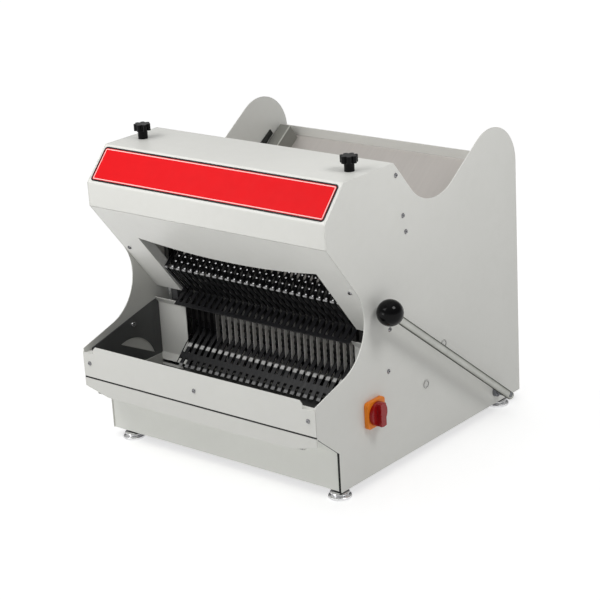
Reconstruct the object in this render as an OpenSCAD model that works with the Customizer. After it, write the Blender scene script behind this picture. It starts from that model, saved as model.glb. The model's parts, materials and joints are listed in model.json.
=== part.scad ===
// Counter-top bread slicer: side panels carry a hood, a sloping chute, two blade frames and a crumb drawer.
// X is the width, the discharge trough faces minus Y, and the feet stand at Z zero.

/* [Overall] */
// Width over the two side panels
body_w = 580; // [500:5:700]
// Depth of the base from its front panel to the back edge
base_d = 588; // [540:4:720]
// Height of the hood top above the floor
hood_z = 588; // [560:2:720]
// Height of the panels' lower edge above the floor
stand_h = 16; // [13:1:24]
// Thickness of the side panels
panel_t = 2; // [1.5:0.1:3]
// Thickness of the bent covers
sheet_t = 1.5; // [1:0.1:2]
// Thickness of the inner plates
plate_t = 2; // [1.5:0.1:3]
// Gap left between pieces that lie side by side
seat_gap = 0.3; // [0.2:0.05:0.6]
// Radial clearance of running shafts and pins
run_gap = 0.05; // [0.02:0.01:0.1]
// Radial clearance of a screw in its hole
hole_gap = 0.2; // [0.1:0.05:0.4]
// Room beside moving pieces and walls round pins
room = 5; // [3:0.5:6]
// How far a round edge stands over the straight edge it meets
blend = 0.05; // [0.02:0.01:0.1]
// How far a cut runs past the piece
overrun = 5; // [2:1:10]

/* [Side profile] */
// How far the front lip stands ahead of the base front
lip_reach = 62; // [40:1:90]
// Height of the lip's lower corner
lip_low_z = 145; // [120:1:170]
// Height of the lip's upper corner
lip_top_z = 205; // [185:1:230]
// Height where the base front meets the sloping edge
base_top_z = 93; // [80:1:110]
// Radius of the round mouth
mouth_r = 95; // [80:1:110]
// How far the mouth centre lies ahead of the base front
mouth_reach = 6; // [0:1:20]
// Height of the mouth centre
mouth_z = 321; // [310:1:350]
// How far the hood nose stands ahead of the base front
nose_reach = 9; // [0:1:30]
// Height of the upright band on the hood nose
nose_band = 46; // [30:1:60]
// Drop from the hood top to the upright band
nose_drop = 62; // [40:1:80]
// Distance of the hood's upper fold behind the base front
brow_set = 48; // [30:1:80]
// Distance of the hood's rear edge behind the base front
hood_rear_set = 193; // [180:1:230]
// Radius of the valley beside the chute
valley_r = 98; // [80:1:110]
// Distance of the valley centre behind the hood's rear edge
valley_set = 125; // [115:1:150]
// Height of the valley centre above the hood top
valley_rise = 3; // [0:1:10]
// Radius of the rear ear
ear_r = 84; // [70:1:95]
// Height of the ear centre below the hood top
ear_drop = 91; // [80:1:110]

/* [Hood] */
// Half width of the opening under the hood
mouth_half_w = 220; // [200:1:235]
// Length of the hood frame above the opening at its corners
mouth_head = 88; // [60:1:110]
// Bow of the opening's upper edge
mouth_bow = 24; // [10:1:40]
// Depth of the folds beside the opening
mouth_flange = 20; // [10:1:24]
// Space between the hood frame's lower end and the blade bars
frame_end_gap = 4; // [4:1:20]
// Distance of the hood frame's screws down its slope
frame_screw_set = 132; // [100:1:170]
// Height of the colour panel on the hood slope
label_h = 74; // [60:1:80]
// Space between the colour panel and the side panels
label_side = 6; // [4:1:20]
// Width of the colour panel's border
label_rim = 3.2; // [2:0.1:6]
// Corner radius of the colour panel
label_r = 7; // [4:1:12]
// Thickness of the colour panel
label_t = 0.8; // [0.5:0.1:1.5]
// How far the border stands over the colour panel
label_step = 0.3; // [0.2:0.1:1]
// Distance of each hand screw from the side panel's outer face
knob_inset = 38; // [25:1:80]
// Distance of the hand screws behind the hood's upper fold
knob_set = 66; // [40:1:100]
// Diameter of the hand screw's grip
knob_d = 33; // [25:1:45]
// Height of the hand screw's grip
knob_h = 13; // [8:1:20]
// Diameter of the hand screw's neck
knob_neck_d = 19; // [12:1:24]
// Height of the hand screw's neck
knob_neck_h = 16; // [8:1:24]
// Diameter of one grip lobe
knob_lobe_d = 9; // [6:1:12]
// Number of grip lobes
lobe_n = 7; // [5:1:9]
// Diameter of the hand screw's thread
knob_stud_d = 8; // [6:1:10]
// Length of thread below the hood sheet
knob_stud_l = 14; // [8:1:24]

/* [Front] */
// Height of the front plate's middle above the panels' lip corner
lip_notch_h = 8; // [4:1:14]
// Drop of the front plate's low ends below the panels' lip corner
lip_end_drop = 7; // [2:1:12]
// Width of the notch at each end of the front plate
lip_notch_w = 29; // [15:1:45]
// Cut corner beside each notch
lip_chamfer = 6; // [1:0.5:8]
// Gap between the front plate and the drawer front
drawer_gap = 3.5; // [2:0.5:6]
// Depth of the box beam behind the front plate
beam_d = 16; // [10:1:30]
// Drop of the drawer front at its middle
drawer_front_h = 33; // [25:1:45]
// Drop of the drawer front at its ends
drawer_end_h = 17; // [10:1:24]
// Length of the taper at each end of the drawer front
drawer_taper = 60; // [30:1:90]
// Height of the drawer's side walls
drawer_side_h = 25; // [18:1:27]
// Height of the drawer's rear wall
drawer_rear_h = 5; // [3:1:8]
// Space between the drawer's rear end and the blade bars
drawer_end_gap = 8; // [8:1:20]
// Space beside the drawer for each runner
drawer_side = 30; // [20:1:40]
// Thickness of the drawer sheet
drawer_t = 1.2; // [0.8:0.1:2]
// Width of each drawer runner
runner_w = 36; // [30:1:50]
// How far the base front stands behind the panel edge
base_front_set = 2; // [1:0.5:6]
// Gap between the base front and the right side panel
base_gap = 3; // [1:0.5:5]
// Width of the fold on the base panels
fold_w = 12; // [8:1:20]

/* [Blades] */
// Number of blades
blade_n = 27; // [15:2:31]
// Pitch of the blades, which is the slice thickness
blade_pitch = 16; // [12:0.5:20]
// Thickness of a blade
blade_t = 0.7; // [0.5:0.1:1]
// Width of a blade
blade_w = 10; // [8:0.5:12]
// Distance of the blades behind the base front
blade_set = 170; // [165:1:185]
// Height of the lower end of the blade bodies
blade_low_z = 152; // [150:1:160]
// Pitch of the wave teeth
tooth_pitch = 12; // [8:1:16]
// Depth of the wave teeth
tooth_d = 1.6; // [1:0.1:2.5]
// Half the blade stroke
stroke = 18; // [10:1:20]
// Depth of a blade bar
bar_d = 11.5; // [8:0.5:12]
// Height of a blade bar
bar_h = 22; // [16:1:28]
// Gap between the bars of the two frames
bar_gap = 3; // [2:0.5:5]
// Height of the lower bars over the rocker shaft
bar_rise = 38; // [37:1:41]
// Room between the hood sheet and the raised upper bars
bar_head = 20; // [10:1:40]
// Width of an upright
upright_w = 14; // [10:1:18]
// Distance of an upright's inner face from the machine's middle
upright_x = 236; // [225:1:260]
// Width of a blade's narrow end
tang_w = 4; // [3:0.5:5]
// Diameter of a blade pin
pin_d = 4; // [3:0.5:5]
// Length of a blade pin
pin_l = 9; // [6:0.5:12]
// Diameter of a guide rod
rod_d = 16; // [12:1:20]
// Diameter of a guide bush
bush_d = 27; // [24:1:30]
// Length of a guide bush
bush_l = 44; // [30:1:60]

/* [Combs] */
// Width of the comb slots
slot_w = 7; // [5:0.5:9]
// How far the upper comb's front bend stands ahead of the blade centre
comb_front = 62; // [50:1:64]
// Height of the upper comb's front bend
comb_front_z = 334; // [325:1:345]
// Distance of the comb's rear bend ahead of the blade centre
comb_rear = 10; // [8:0.5:14]
// Height of the comb's rear bend
comb_rear_z = 272; // [260:1:285]
// How far the comb's lower edge stands ahead of the blade centre
comb_low = 42; // [30:1:50]
// Height of the comb's lower edge
comb_low_z = 250; // [240:1:258]
// Height of the comb's upper bend
comb_head_z = 373; // [365:1:385]
// Height of the comb's upright flange
comb_flange = 26; // [16:1:40]
// Solid strip at the comb's lower edge
comb_strip = 7; // [4:1:12]
// Diameter of a rivet head
rivet_d = 5.6; // [4:0.2:7]
// Height of a rivet head
rivet_h = 1.8; // [1:0.1:3]
// Pitch of the rivets along a comb finger
rivet_pitch = 13; // [9:1:16]
// Distance of the first rivet from the front bend
rivet_first = 6; // [5:1:20]
// Number of rivets on a finger
rivet_n = 4; // [1:1:4]
// How far the lower comb's bend stands ahead of the blade centre
ramp_bend = 26; // [20:1:35]
// Height of the lower comb's bend
ramp_bend_z = 162; // [155:1:170]
// How far the lower comb's end stands ahead of the blade centre
ramp_end = 60; // [50:1:70]
// Height of the lower comb's end
ramp_end_z = 128; // [127:1:140]
// Length of the solid strip across the lower comb
ramp_strip = 9; // [8:1:20]
// How far the lower comb's first slots run past its bend
ramp_slot = 12; // [6:1:16]

/* [Trough] */
// Distance of the window's side edge from the machine's middle
window_x = 213; // [205:1:225]
// Space between the window plates and the blade frames
window_gap = 4; // [3:0.5:10]
// Height of the window plates' upper fold
window_top_z = 236; // [225:1:244]
// Height of the window plates' lower fold
window_low_z = 129; // [126:1:140]
// Width of the window plates' folds
window_fold = 16; // [8:1:24]
// Slope of the window plates' lower fold below the level
window_fold_turn = 45; // [20:1:60]
// Thickness of the trough cheeks
cheek_t = 1.5; // [1:0.1:2]
// Height of a cheek's rear corner
cheek_rear_z = 243; // [230:1:246]
// Height of a cheek's front corner
cheek_front_z = 199; // [190:1:204]
// Distance of a cheek's rear edge ahead of the blade centre
cheek_rear = 36; // [32:1:60]
// Chord of the round window in a cheek
cheek_chord = 104; // [60:1:120]
// Height of the round window over its chord
cheek_rise = 22; // [12:1:30]
// Distance of the round window ahead of the blade centre
cheek_hole_set = 86; // [70:1:110]
// Height of the round window's chord
cheek_hole_z = 157; // [150:1:170]
// Slope of the round window's chord
cheek_hole_tilt = 26; // [0:1:30]
// Diameter of a cheek bolt head
cheek_bolt_d = 12; // [8:1:16]
// Distance of the cheek bolt ahead of the blade centre
cheek_bolt_set = 97; // [80:1:120]
// Height of the cheek bolt
cheek_bolt_z = 212; // [205:1:216]

/* [Chute] */
// Height of the ramp's upper edge above the ear centre
rim_rise = 7; // [0:1:20]
// Height of the ramp's folded rim
rim_h = 20; // [10:1:30]
// Distance of the ramp's lower end behind the blade centre
ramp_set = 21; // [18:1:30]
// Height of the ramp's lower end
ramp_low_z = 199; // [190:1:210]
// Height of the side rails over the ramp
fin_h = 38; // [12:1:40]
// Space between a side rail and the arm slot beside it
fin_gap = 1; // [0.5:0.5:6]
// Space between a side rail's cover and the side panel
fin_cover_side = 6; // [2:1:16]
// Length of the cover on a side rail's upper end
fin_cover_l = 84; // [60:1:100]
// Distance of the side rails from the ramp's upper end
fin_rear = 5; // [3:1:20]
// Width of the pusher arm slots
arm_slot_w = 26; // [18:1:30]
// Distance of the arm slots from the side panels
arm_slot_side = 4; // [3:1:10]
// Distance of the arm slot's lower end from the ramp's lower end
arm_slot_low = 28; // [18:1:40]
// Distance of the arm slot's upper end from the ramp's upper end
arm_slot_top = 70; // [40:1:110]
// Height of the front guard's lower end
guard_low_z = 392; // [380:1:410]
// Set-back of the front guard's lower end behind the hood's rear edge
guard_lean = 42; // [20:1:60]
// Width of the front guard's lower fold
guard_fold = 14; // [8:1:20]

/* [Pusher] */
// Distance of the pusher shaft from the back edge
shaft_back = 88; // [70:1:110]
// Height of the pusher shaft
shaft_z = 42; // [38:1:60]
// Diameter of the pusher shaft
shaft_d = 20; // [14:1:25]
// Diameter of the shaft's end in the lever
shaft_tip_d = 11; // [8:1:12]
// Wall of a hub round its shaft
hub_wall = 8; // [5:1:10]
// Length of lever tube past the shaft
lever_tail = 11; // [8:1:20]
// Distance of the pusher plate behind the blade centre
pusher_set = 14; // [12:1:20]
// Space between the pusher plate and the ramp
pusher_gap = 20; // [12:1:30]
// Height of the pusher plate
pusher_h = 116; // [80:1:130]
// Half width of the pusher plate
pusher_half_w = 140; // [100:1:200]
// Thickness of the pusher plate
pusher_t = 3; // [2:0.5:5]
// Diameter of the pusher's cross tube
beam_tube_d = 20; // [16:1:26]
// Thickness of a pusher arm
arm_t = 8; // [5:1:12]
// Width of a pusher arm
arm_w = 24; // [16:1:32]
// Space between a pusher arm and the side panel
arm_side = 13; // [8:1:20]
// Distance of the lever from the side panel
lever_out = 22; // [16:1:50]
// Length of the lever from shaft to ball
lever_l = 472; // [380:1:520]
// Rise of the lever above the level at its forward stop
lever_tilt = 37.6; // [30:0.2:50]
// Diameter of the lever tube
lever_d = 16; // [12:1:20]
// Wall of the lever tube
lever_wall = 2; // [1:0.5:4]
// Diameter of the lever ball
ball_d = 50; // [35:1:60]
// Flange diameter of the shaft bearings
bearing_d = 46; // [36:1:60]
// Thickness of the shaft bearings
bearing_t = 12; // [8:1:18]

/* [Drive] */
// Height of the rocker shaft over the base plate
rocker_rise = 34; // [33:1:40]
// Diameter of the rocker shaft
rocker_d = 16; // [12:1:18]
// Length of a rocker arm
rocker_arm = 60; // [50:1:70]
// Thickness of a rocker arm
rocker_t = 10; // [6:1:14]
// Diameter of a rocker pin
rocker_pin_d = 10; // [8:1:12]
// Play of a rocker pin in its yoke
yoke_play = 0.7; // [0.5:0.1:1.5]
// Distance of the rocker arms from the machine's middle
yoke_x = 150; // [120:1:180]
// Thickness of a yoke plate
yoke_t = 5; // [4:1:8]
// Half height of a yoke plate
yoke_half = 10.5; // [9:0.5:11]
// Distance of the crankshaft behind the blade centre
crank_set = 98; // [90:1:120]
// Height of the crankshaft
crank_z = 137; // [130:1:145]
// Diameter of the crankshaft
crank_d = 20; // [16:1:25]
// Throw of the crank
crank_throw = 21; // [12:1:24]
// Diameter of the crank disc
crank_disc_d = 70; // [60:1:80]
// Thickness of the crank disc
crank_disc_t = 12; // [8:1:16]
// Diameter of the crank pin
crank_pin_d = 12; // [10:1:16]
// Width of the connecting rod
rod_w = 22; // [18:1:28]
// Thickness of the connecting rod
conrod_t = 12; // [8:1:16]
// Diameter of the crank pulley
pulley_d = 120; // [90:2:130]
// Diameter of the motor pulley
motor_pulley_d = 50; // [40:2:60]
// Width of the pulleys
pulley_w = 22; // [18:1:30]
// Depth of the belt groove
groove_d = 8; // [6:0.5:10]
// Width of the belt
belt_w = 10; // [8:0.5:13]
// Height of the belt section
belt_h = 6; // [5:0.5:8]
// Side play of the belt in its groove
belt_side = 1.6; // [0.5:0.1:3]
// Distance of the pulleys from the side panel
pulley_side = 52; // [40:1:80]
// Distance of the motor from the crankshaft along the depth
motor_set = 122; // [110:1:140]
// Height of the motor axis
motor_z = 96; // [90:1:110]
// Diameter of the motor body
motor_d = 130; // [110:2:140]
// Length of the motor body
motor_l = 210; // [160:5:260]
// Diameter of the motor shaft
motor_shaft_d = 14; // [11:1:19]
// Thickness of the motor end shields
shield_t = 12; // [8:1:18]
// Width of a motor cooling rib
rib_w = 4; // [3:0.5:6]
// Number of cooling ribs
rib_n = 20; // [12:2:28]
// Height of a cooling rib
rib_h = 6; // [4:0.5:9]

/* [Switch] */
// Distance of the switch behind the base front
switch_set = 101; // [80:1:140]
// Height of the switch
switch_z = 139; // [120:1:160]
// Side of the switch plate
switch_s = 52; // [48:1:70]
// Thickness of the switch plate
switch_t = 9; // [5:1:14]
// Diameter of the switch knob
switch_knob_d = 46; // [34:1:52]
// Height of the switch knob
switch_knob_h = 16; // [10:1:24]
// Width of the knob's grip bar
switch_grip_w = 15; // [10:1:20]
// Height of the knob's grip bar
switch_grip_h = 9; // [5:1:14]
// Diameter of the switch neck through the panel
switch_neck_d = 22; // [16:1:28]
// Side of the switch body inside the panel
switch_body_s = 40; // [34:1:44]
// Depth of the switch body inside the panel
switch_body_d = 26; // [16:1:28]

/* [Feet and fasteners] */
// Distance of the right feet from the right panel's outer face
foot_right = 15; // [13:1:60]
// Distance of the left feet from the left panel's outer face
foot_left = 44; // [13:1:60]
// Distance of the front feet from the panel's front edge
foot_front = 12; // [10:1:60]
// Distance of the rear feet from the back edge
foot_rear = 58; // [40:1:80]
// Diameter of a foot
foot_d = 48; // [36:1:60]
// Height of a foot's rim
foot_rim = 5; // [3:0.5:8]
// Height of a foot's cone
foot_cone = 4; // [3:0.5:6]
// Diameter of a foot's stud
foot_stud_d = 10; // [8:1:12]
// How far a foot screws out
foot_travel = 15; // [8:1:18]
// Side to side size of a foot nut
nut_d = 18; // [15:1:22]
// Thickness of a foot nut
nut_t = 8; // [5:1:10]
// Diameter of a panel screw's head
head_d = 9; // [7:0.5:12]
// Height of a panel screw's head
head_h = 2.4; // [1.5:0.1:4]
// Diameter of a panel screw's shank
screw_d = 4; // [3:0.5:6]
// Socket size of a panel screw
socket_d = 3.4; // [2:0.2:5]
// Diameter of a hole plug
plug_d = 17; // [12:1:22]
// Height of a hole plug's rim
plug_h = 1.6; // [1:0.2:3]
// Distance of the front plate's end screws from the panel's outer face
lip_screw_in = 17; // [10:1:28]
// Diameter of the cable inlet
gland_d = 22; // [16:1:28]
// Length of the cable inlet outside the back cover
gland_l = 14; // [8:1:22]
// Distance of the cable inlet from the right panel's outer face
gland_side = 92; // [40:1:200]
// Height of the cable inlet over the base plate
gland_rise = 46; // [25:1:90]
// Diameter of the inlet's bore
gland_bore = 9; // [6:0.5:12]
// Number of vents in the back cover
vent_n = 9; // [5:1:13]
// Length of a vent
vent_l = 70; // [40:1:100]
// Width of a vent
vent_w = 6; // [4:0.5:9]
// Pitch of the vents
vent_pitch = 14; // [10:1:20]

/* [Hidden] */
$fn = 48;

half_w = body_w / 2;
in_x = half_w - panel_t;
fit_x = in_x - seat_gap;
front_y = -base_d / 2;
back_y = base_d / 2;
lip_y = front_y - lip_reach;
lip_face_y = lip_y - seat_gap - sheet_t;
mouth_y = front_y - mouth_reach;
nose_y = front_y - nose_reach;
nose_top_z = hood_z - nose_drop;
nose_low_z = nose_top_z - nose_band;
brow_y = front_y + brow_set;
hood_rear_y = front_y + hood_rear_set;
valley_y = hood_rear_y + valley_set;
valley_z = hood_z + valley_rise;
ear_y = back_y - ear_r;
ear_z = hood_z - ear_drop;
blade_y = front_y + blade_set;
bar_a_y = blade_y - bar_gap / 2 - bar_d;
bar_b_y = blade_y + bar_gap / 2;
bars_front_y = bar_a_y;
bar_top_z = hood_z - bar_head - stroke - bar_h;
blade_top_z = bar_top_z - 2 * stroke - bar_gap * 2;
shaft_y = back_y - shaft_back;
floor_z = stand_h + plate_t;
rocker_z = floor_z + rocker_rise;
bar_low_z = rocker_z + bar_rise;

// bounding box limits that put the origin under the middle of the whole slicer
lever_x = half_w + lever_out + lever_d / 2;
box_right = lever_x + ball_d / 2;
box_left = -half_w - head_h;
box_front = lip_face_y - head_h;
box_back = back_y + gland_l;
mid_x = (box_left + box_right) / 2;
mid_y = (box_front + box_back) / 2;

paint = [0.83, 0.84, 0.82];
steel = [0.70, 0.69, 0.67];
dark = [0.22, 0.22, 0.23];
bright = [0.86, 0.87, 0.88];
black = [0.06, 0.06, 0.06];
red = [0.90, 0.10, 0.13];
orange = [0.95, 0.52, 0.08];
cast = [0.35, 0.36, 0.38];

// direction along a line, its left normal and the tangent from a point to a circle
function unit(v) = v / norm(v);
function left(v) = [-v[1], v[0]];
function aim(a) = [cos(a), sin(a)];
function tangent_angle(p, c, r, s) = atan2(c[1] - p[1], c[0] - p[0]) + s * asin(r / norm(c - p));
function tangent_point(p, c, r, s) = p + sqrt(pow(norm(c - p), 2) - r * r) * aim(tangent_angle(p, c, r, s));

// closed outline of a bent sheet of even thickness along a path
function strip_side(p, t) = [for (i = [0 : len(p) - 1])
  let (a = i == 0 ? unit(p[1] - p[0]) : unit(p[i] - p[i - 1]),
    b = i == len(p) - 1 ? a : unit(p[i + 1] - p[i]))
  p[i] + (left(a) + left(b)) * (t / (1 + a * b))];
function strip(p, t) = let (q = strip_side(p, t)) concat(p, [for (i = [len(q) - 1 : -1 : 0]) q[i]]);

// the side profile's key points as depth and height
lip_corner = [lip_y, lip_top_z];
nose_corner = [nose_y, nose_low_z];
mouth_c = [mouth_y, mouth_z];
mouth_low_pt = tangent_point(lip_corner, mouth_c, mouth_r, -1);
mouth_top_pt = tangent_point(nose_corner, mouth_c, mouth_r, 1);
mouth_slope = tangent_angle(nose_corner, mouth_c, mouth_r, 1);
hood_corner = [hood_rear_y, hood_z];
valley_c = [valley_y, valley_z];
ear_c = [ear_y, ear_z];
valley_front_pt = tangent_point(hood_corner, valley_c, valley_r, -1);
valley_ear = ear_c - valley_c;
ear_slope = atan2(valley_ear[1], valley_ear[0]) + asin((valley_r + ear_r) / norm(valley_ear));
valley_rear_pt = valley_c - valley_r * left(aim(ear_slope));
ear_pt = ear_c + ear_r * left(aim(ear_slope));
ear_top_z = ear_z + ear_r;
ear_corner = ear_pt + (ear_top_z - ear_pt[1]) / sin(ear_slope) * aim(ear_slope);

// the chute ramp, from its rim to its lower end behind the blades
rim_pt = [back_y - 2 * (sheet_t + seat_gap), ear_z + rim_rise];
ramp_top_pt = rim_pt - [0, rim_h];
ramp_low_pt = [blade_y + ramp_set, ramp_low_z];
ramp_dir = unit(ramp_low_pt - ramp_top_pt);
ramp_rise = ramp_dir[1] / ramp_dir[0];
function ramp_z(y) = ramp_low_pt[1] + (y - ramp_low_pt[0]) * ramp_rise;

// extrude an outline of depth and height across the width
module across(x0, x1) {
  translate([x0, 0, 0])
    rotate([90, 0, 90])
      linear_extrude(x1 - x0)
        children();
}

module sheet(p, t, x0, x1) {
  across(x0, x1)
    polygon(strip(p, t));
}

module rod_x(d, x0, x1, y, z) {
  translate([x0, y, z])
    rotate([0, 90, 0])
      cylinder(h = x1 - x0, d = d);
}

module rod_y(d, x, y0, y1, z) {
  translate([x, y1, z])
    rotate([90, 0, 0])
      cylinder(h = y1 - y0, d = d);
}

module block(x0, x1, y0, y1, z0, z1) {
  translate([x0, y0, z0])
    cube([x1 - x0, y1 - y0, z1 - z0]);
}

module both() {
  children();
  mirror([1, 0, 0])
    children();
}

// put a piece in the frame whose origin lies under the middle of the whole slicer
module placed(c) {
  color(c)
    translate([-mid_x, -mid_y, 0])
      children();
}

module round_plate(w, h, r, t) {
  linear_extrude(t)
    union() {
      square([w - 2 * r, h], center = true);
      square([w, h - 2 * r], center = true);
      for (x = [-1, 1], y = [-1, 1])
        translate([x * (w / 2 - r), y * (h / 2 - r)])
          circle(r);
    }
}

// the places of the screws and plugs on each side panel, as depth and height
guard_top_pt = [hood_rear_y + seat_gap, hood_z - sheet_t];
guard_low_pt = [hood_rear_y + guard_lean, guard_low_z];
guard_screw_shares = [0.115, 0.525, 0.69];
window_screw_share = 0.68;
window_y = bars_front_y - window_gap;
crank_y = blade_y + crank_set;
switch_y = front_y + switch_set;
motor_y = crank_y + motor_set;
plug_pts = [[(crank_y + motor_y) / 2, ramp_low_z]];
panel_screw_pts = concat(
  [for (s = guard_screw_shares) guard_top_pt + s * (guard_low_pt - guard_top_pt)],
  [[window_y + head_d, comb_rear_z + head_d],
    [window_y, window_low_z + window_screw_share * (window_top_z - window_low_z)]]);

// what is cut off around the ear, from the chute's edge to the back edge
module ear_waste() {
  difference() {
    translate(ear_c)
      scale(2 * ear_r)
        polygon([[0, 0], [1, 0], [1, 1], left(aim(ear_slope)) + [0, 1], left(aim(ear_slope))]);
    translate(ear_c)
      circle(ear_r + blend);
  }
}

module panel_outline() {
  difference() {
    polygon([[front_y, stand_h], [front_y, base_top_z], [lip_y, lip_low_z], lip_corner, mouth_low_pt,
      mouth_c, mouth_top_pt, nose_corner, [nose_y, nose_top_z], [brow_y, hood_z], hood_corner,
      valley_front_pt, valley_rear_pt, ear_corner, [back_y, ear_top_z], [back_y, stand_h]]);
    ear_waste();
    translate(mouth_c)
      circle(mouth_r + blend);
    translate(valley_c)
      circle(valley_r + blend);
  }
}

// outer side at x = half_w; the left panel is its mirror image without the switch hole
module side_panel(with_switch) {
  difference() {
    across(in_x, half_w)
      panel_outline();
    rod_x(shaft_d + 2 * hole_gap, in_x - overrun, half_w + overrun, shaft_y, shaft_z);
    rod_x(plug_d - 2 * plug_h, in_x - overrun, half_w + overrun, crank_y, crank_z);
    for (p = plug_pts)
      rod_x(plug_d - 2 * plug_h, in_x - overrun, half_w + overrun, p[0], p[1]);
    for (p = panel_screw_pts)
      rod_x(screw_d + 2 * hole_gap, in_x - overrun, half_w + overrun, p[0], p[1]);
    if (with_switch)
      rod_x(switch_neck_d + 2 * hole_gap, in_x - overrun, half_w + overrun, switch_y, switch_z);
  }
}

module side_panel_left() {
  placed(paint)
    mirror([1, 0, 0])
      side_panel(false);
}

module side_panel_right() {
  placed(paint)
    side_panel(true);
}

// bent hood sheet: top, slope and upright band, with a rear fold
hood_path = [[hood_rear_y, hood_z - fold_w], hood_corner, [brow_y, hood_z], [nose_y, nose_top_z],
  nose_corner];
knob_x = half_w - knob_inset;
knob_y = brow_y + knob_set;

module hood_cover() {
  placed(paint)
    difference() {
      sheet(hood_path, sheet_t, -fit_x, fit_x);
      both()
        translate([knob_x, knob_y, hood_z - overrun])
          cylinder(h = 2 * overrun, d = knob_stud_d + 2 * hole_gap);
    }
}

// slanted frame under the hood, in its own plane: across the width and down the slope
frame_run = min((bars_front_y - frame_end_gap - nose_y) / cos(mouth_slope),
  (cheek_rear_z + room - nose_low_z) / sin(mouth_slope));
bow_r = mouth_half_w * mouth_half_w / (2 * mouth_bow) + mouth_bow / 2;
frame_screw_x = half_w - lip_screw_in;

module on_frame() {
  translate([0, nose_y, nose_low_z])
    rotate([180 + mouth_slope, 0, 0])
      children();
}

module hood_frame() {
  placed(paint)
    on_frame() {
      translate([0, 0, -sheet_t])
        linear_extrude(sheet_t)
          difference() {
            translate([-fit_x, -frame_run])
              square([2 * fit_x, frame_run - sheet_t - seat_gap]);
            difference() {
              translate([-mouth_half_w, -frame_run - overrun])
                square([2 * mouth_half_w, frame_run + overrun - mouth_head]);
              translate([0, bow_r - mouth_head - mouth_bow])
                circle(bow_r, $fn = 96);
            }
            both()
              translate([frame_screw_x, -frame_screw_set])
                circle(d = screw_d + 2 * hole_gap);
          }
      both()
        translate([mouth_half_w, -frame_run, -mouth_flange])
          cube([sheet_t, frame_run - mouth_head, mouth_flange]);
    }
}

// bare colour panel and its border on the hood slope
slope_tilt = atan2(hood_z - nose_top_z, brow_y - nose_y);
label_w = 2 * (half_w - label_side);

module on_slope() {
  translate([0, (brow_y + nose_y) / 2, (hood_z + nose_top_z) / 2])
    rotate([slope_tilt, 0, 0])
      children();
}

module label_panel() {
  placed(red)
    on_slope()
      round_plate(label_w - 2 * label_rim, label_h - 2 * label_rim, label_r - label_rim, label_t);
}

module label_border() {
  placed(black)
    on_slope()
      difference() {
        round_plate(label_w, label_h, label_r, label_t + label_step);
        translate([0, 0, -overrun])
          round_plate(label_w - 2 * label_rim, label_h - 2 * label_rim, label_r - label_rim, 3 * overrun);
      }
}

// lobed hand screw that holds the hood

module hand_screw() {
  translate([knob_x, knob_y, hood_z + seat_gap]) {
    cylinder(h = knob_neck_h, d = knob_neck_d);
    translate([0, 0, -knob_stud_l - seat_gap])
      cylinder(h = knob_stud_l + knob_neck_h, d = knob_stud_d);
    translate([0, 0, knob_neck_h]) {
      cylinder(h = knob_h, d = knob_d - knob_lobe_d);
      for (i = [0 : lobe_n - 1])
        rotate(i * 360 / lobe_n)
          translate([(knob_d - knob_lobe_d) / 2, 0, 0])
            cylinder(h = knob_h, d = knob_lobe_d);
    }
  }
}

module knob_left() {
  placed(black)
    mirror([1, 0, 0])
      hand_screw();
}

module knob_right() {
  placed(black)
    hand_screw();
}

// front plate with low ends, and the box beam that carries it
lip_plate_z = lip_low_z + drawer_gap;
lip_mid_z = lip_top_z + lip_notch_h;
lip_end_z = lip_top_z - lip_end_drop;
lip_mid_x = half_w - lip_notch_w;
lip_screw_z = (lip_plate_z + lip_top_z) / 2;
lip_screw_x = half_w - lip_screw_in;

module upright(y, t) {
  translate([0, y, 0])
    rotate([90, 0, 0])
      linear_extrude(t)
        children();
}

module lip_plate() {
  placed(paint)
    upright(lip_y - seat_gap, sheet_t)
      difference() {
        polygon([[-half_w, lip_plate_z], [half_w, lip_plate_z], [half_w, lip_end_z], [lip_mid_x, lip_end_z],
          [lip_mid_x, lip_mid_z - lip_chamfer], [lip_mid_x - lip_chamfer, lip_mid_z],
          [lip_chamfer - lip_mid_x, lip_mid_z],
          [-lip_mid_x, lip_mid_z - lip_chamfer], [-lip_mid_x, lip_end_z], [-half_w, lip_end_z]]);
        for (x = [-1, 0, 1])
          translate([x * lip_screw_x, lip_screw_z])
            circle(d = screw_d + 2 * hole_gap);
      }
}

module lip_beam() {
  placed(paint)
    sheet([[lip_y, lip_plate_z], [lip_y, lip_end_z - plate_t], [lip_y + beam_d, lip_end_z - plate_t],
      [lip_y + beam_d, lip_plate_z]], -sheet_t, -fit_x, fit_x);
}

// crumb drawer: bowed front, floor with a rear tongue, low walls
drawer_z = lip_low_z - drawer_gap - drawer_side_h;
drawer_x = in_x - drawer_side;
drawer_tongue_x = window_x - fold_w;
drawer_main_y = window_y - 2 * window_fold;
drawer_rear_y = bars_front_y - drawer_end_gap;

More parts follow.
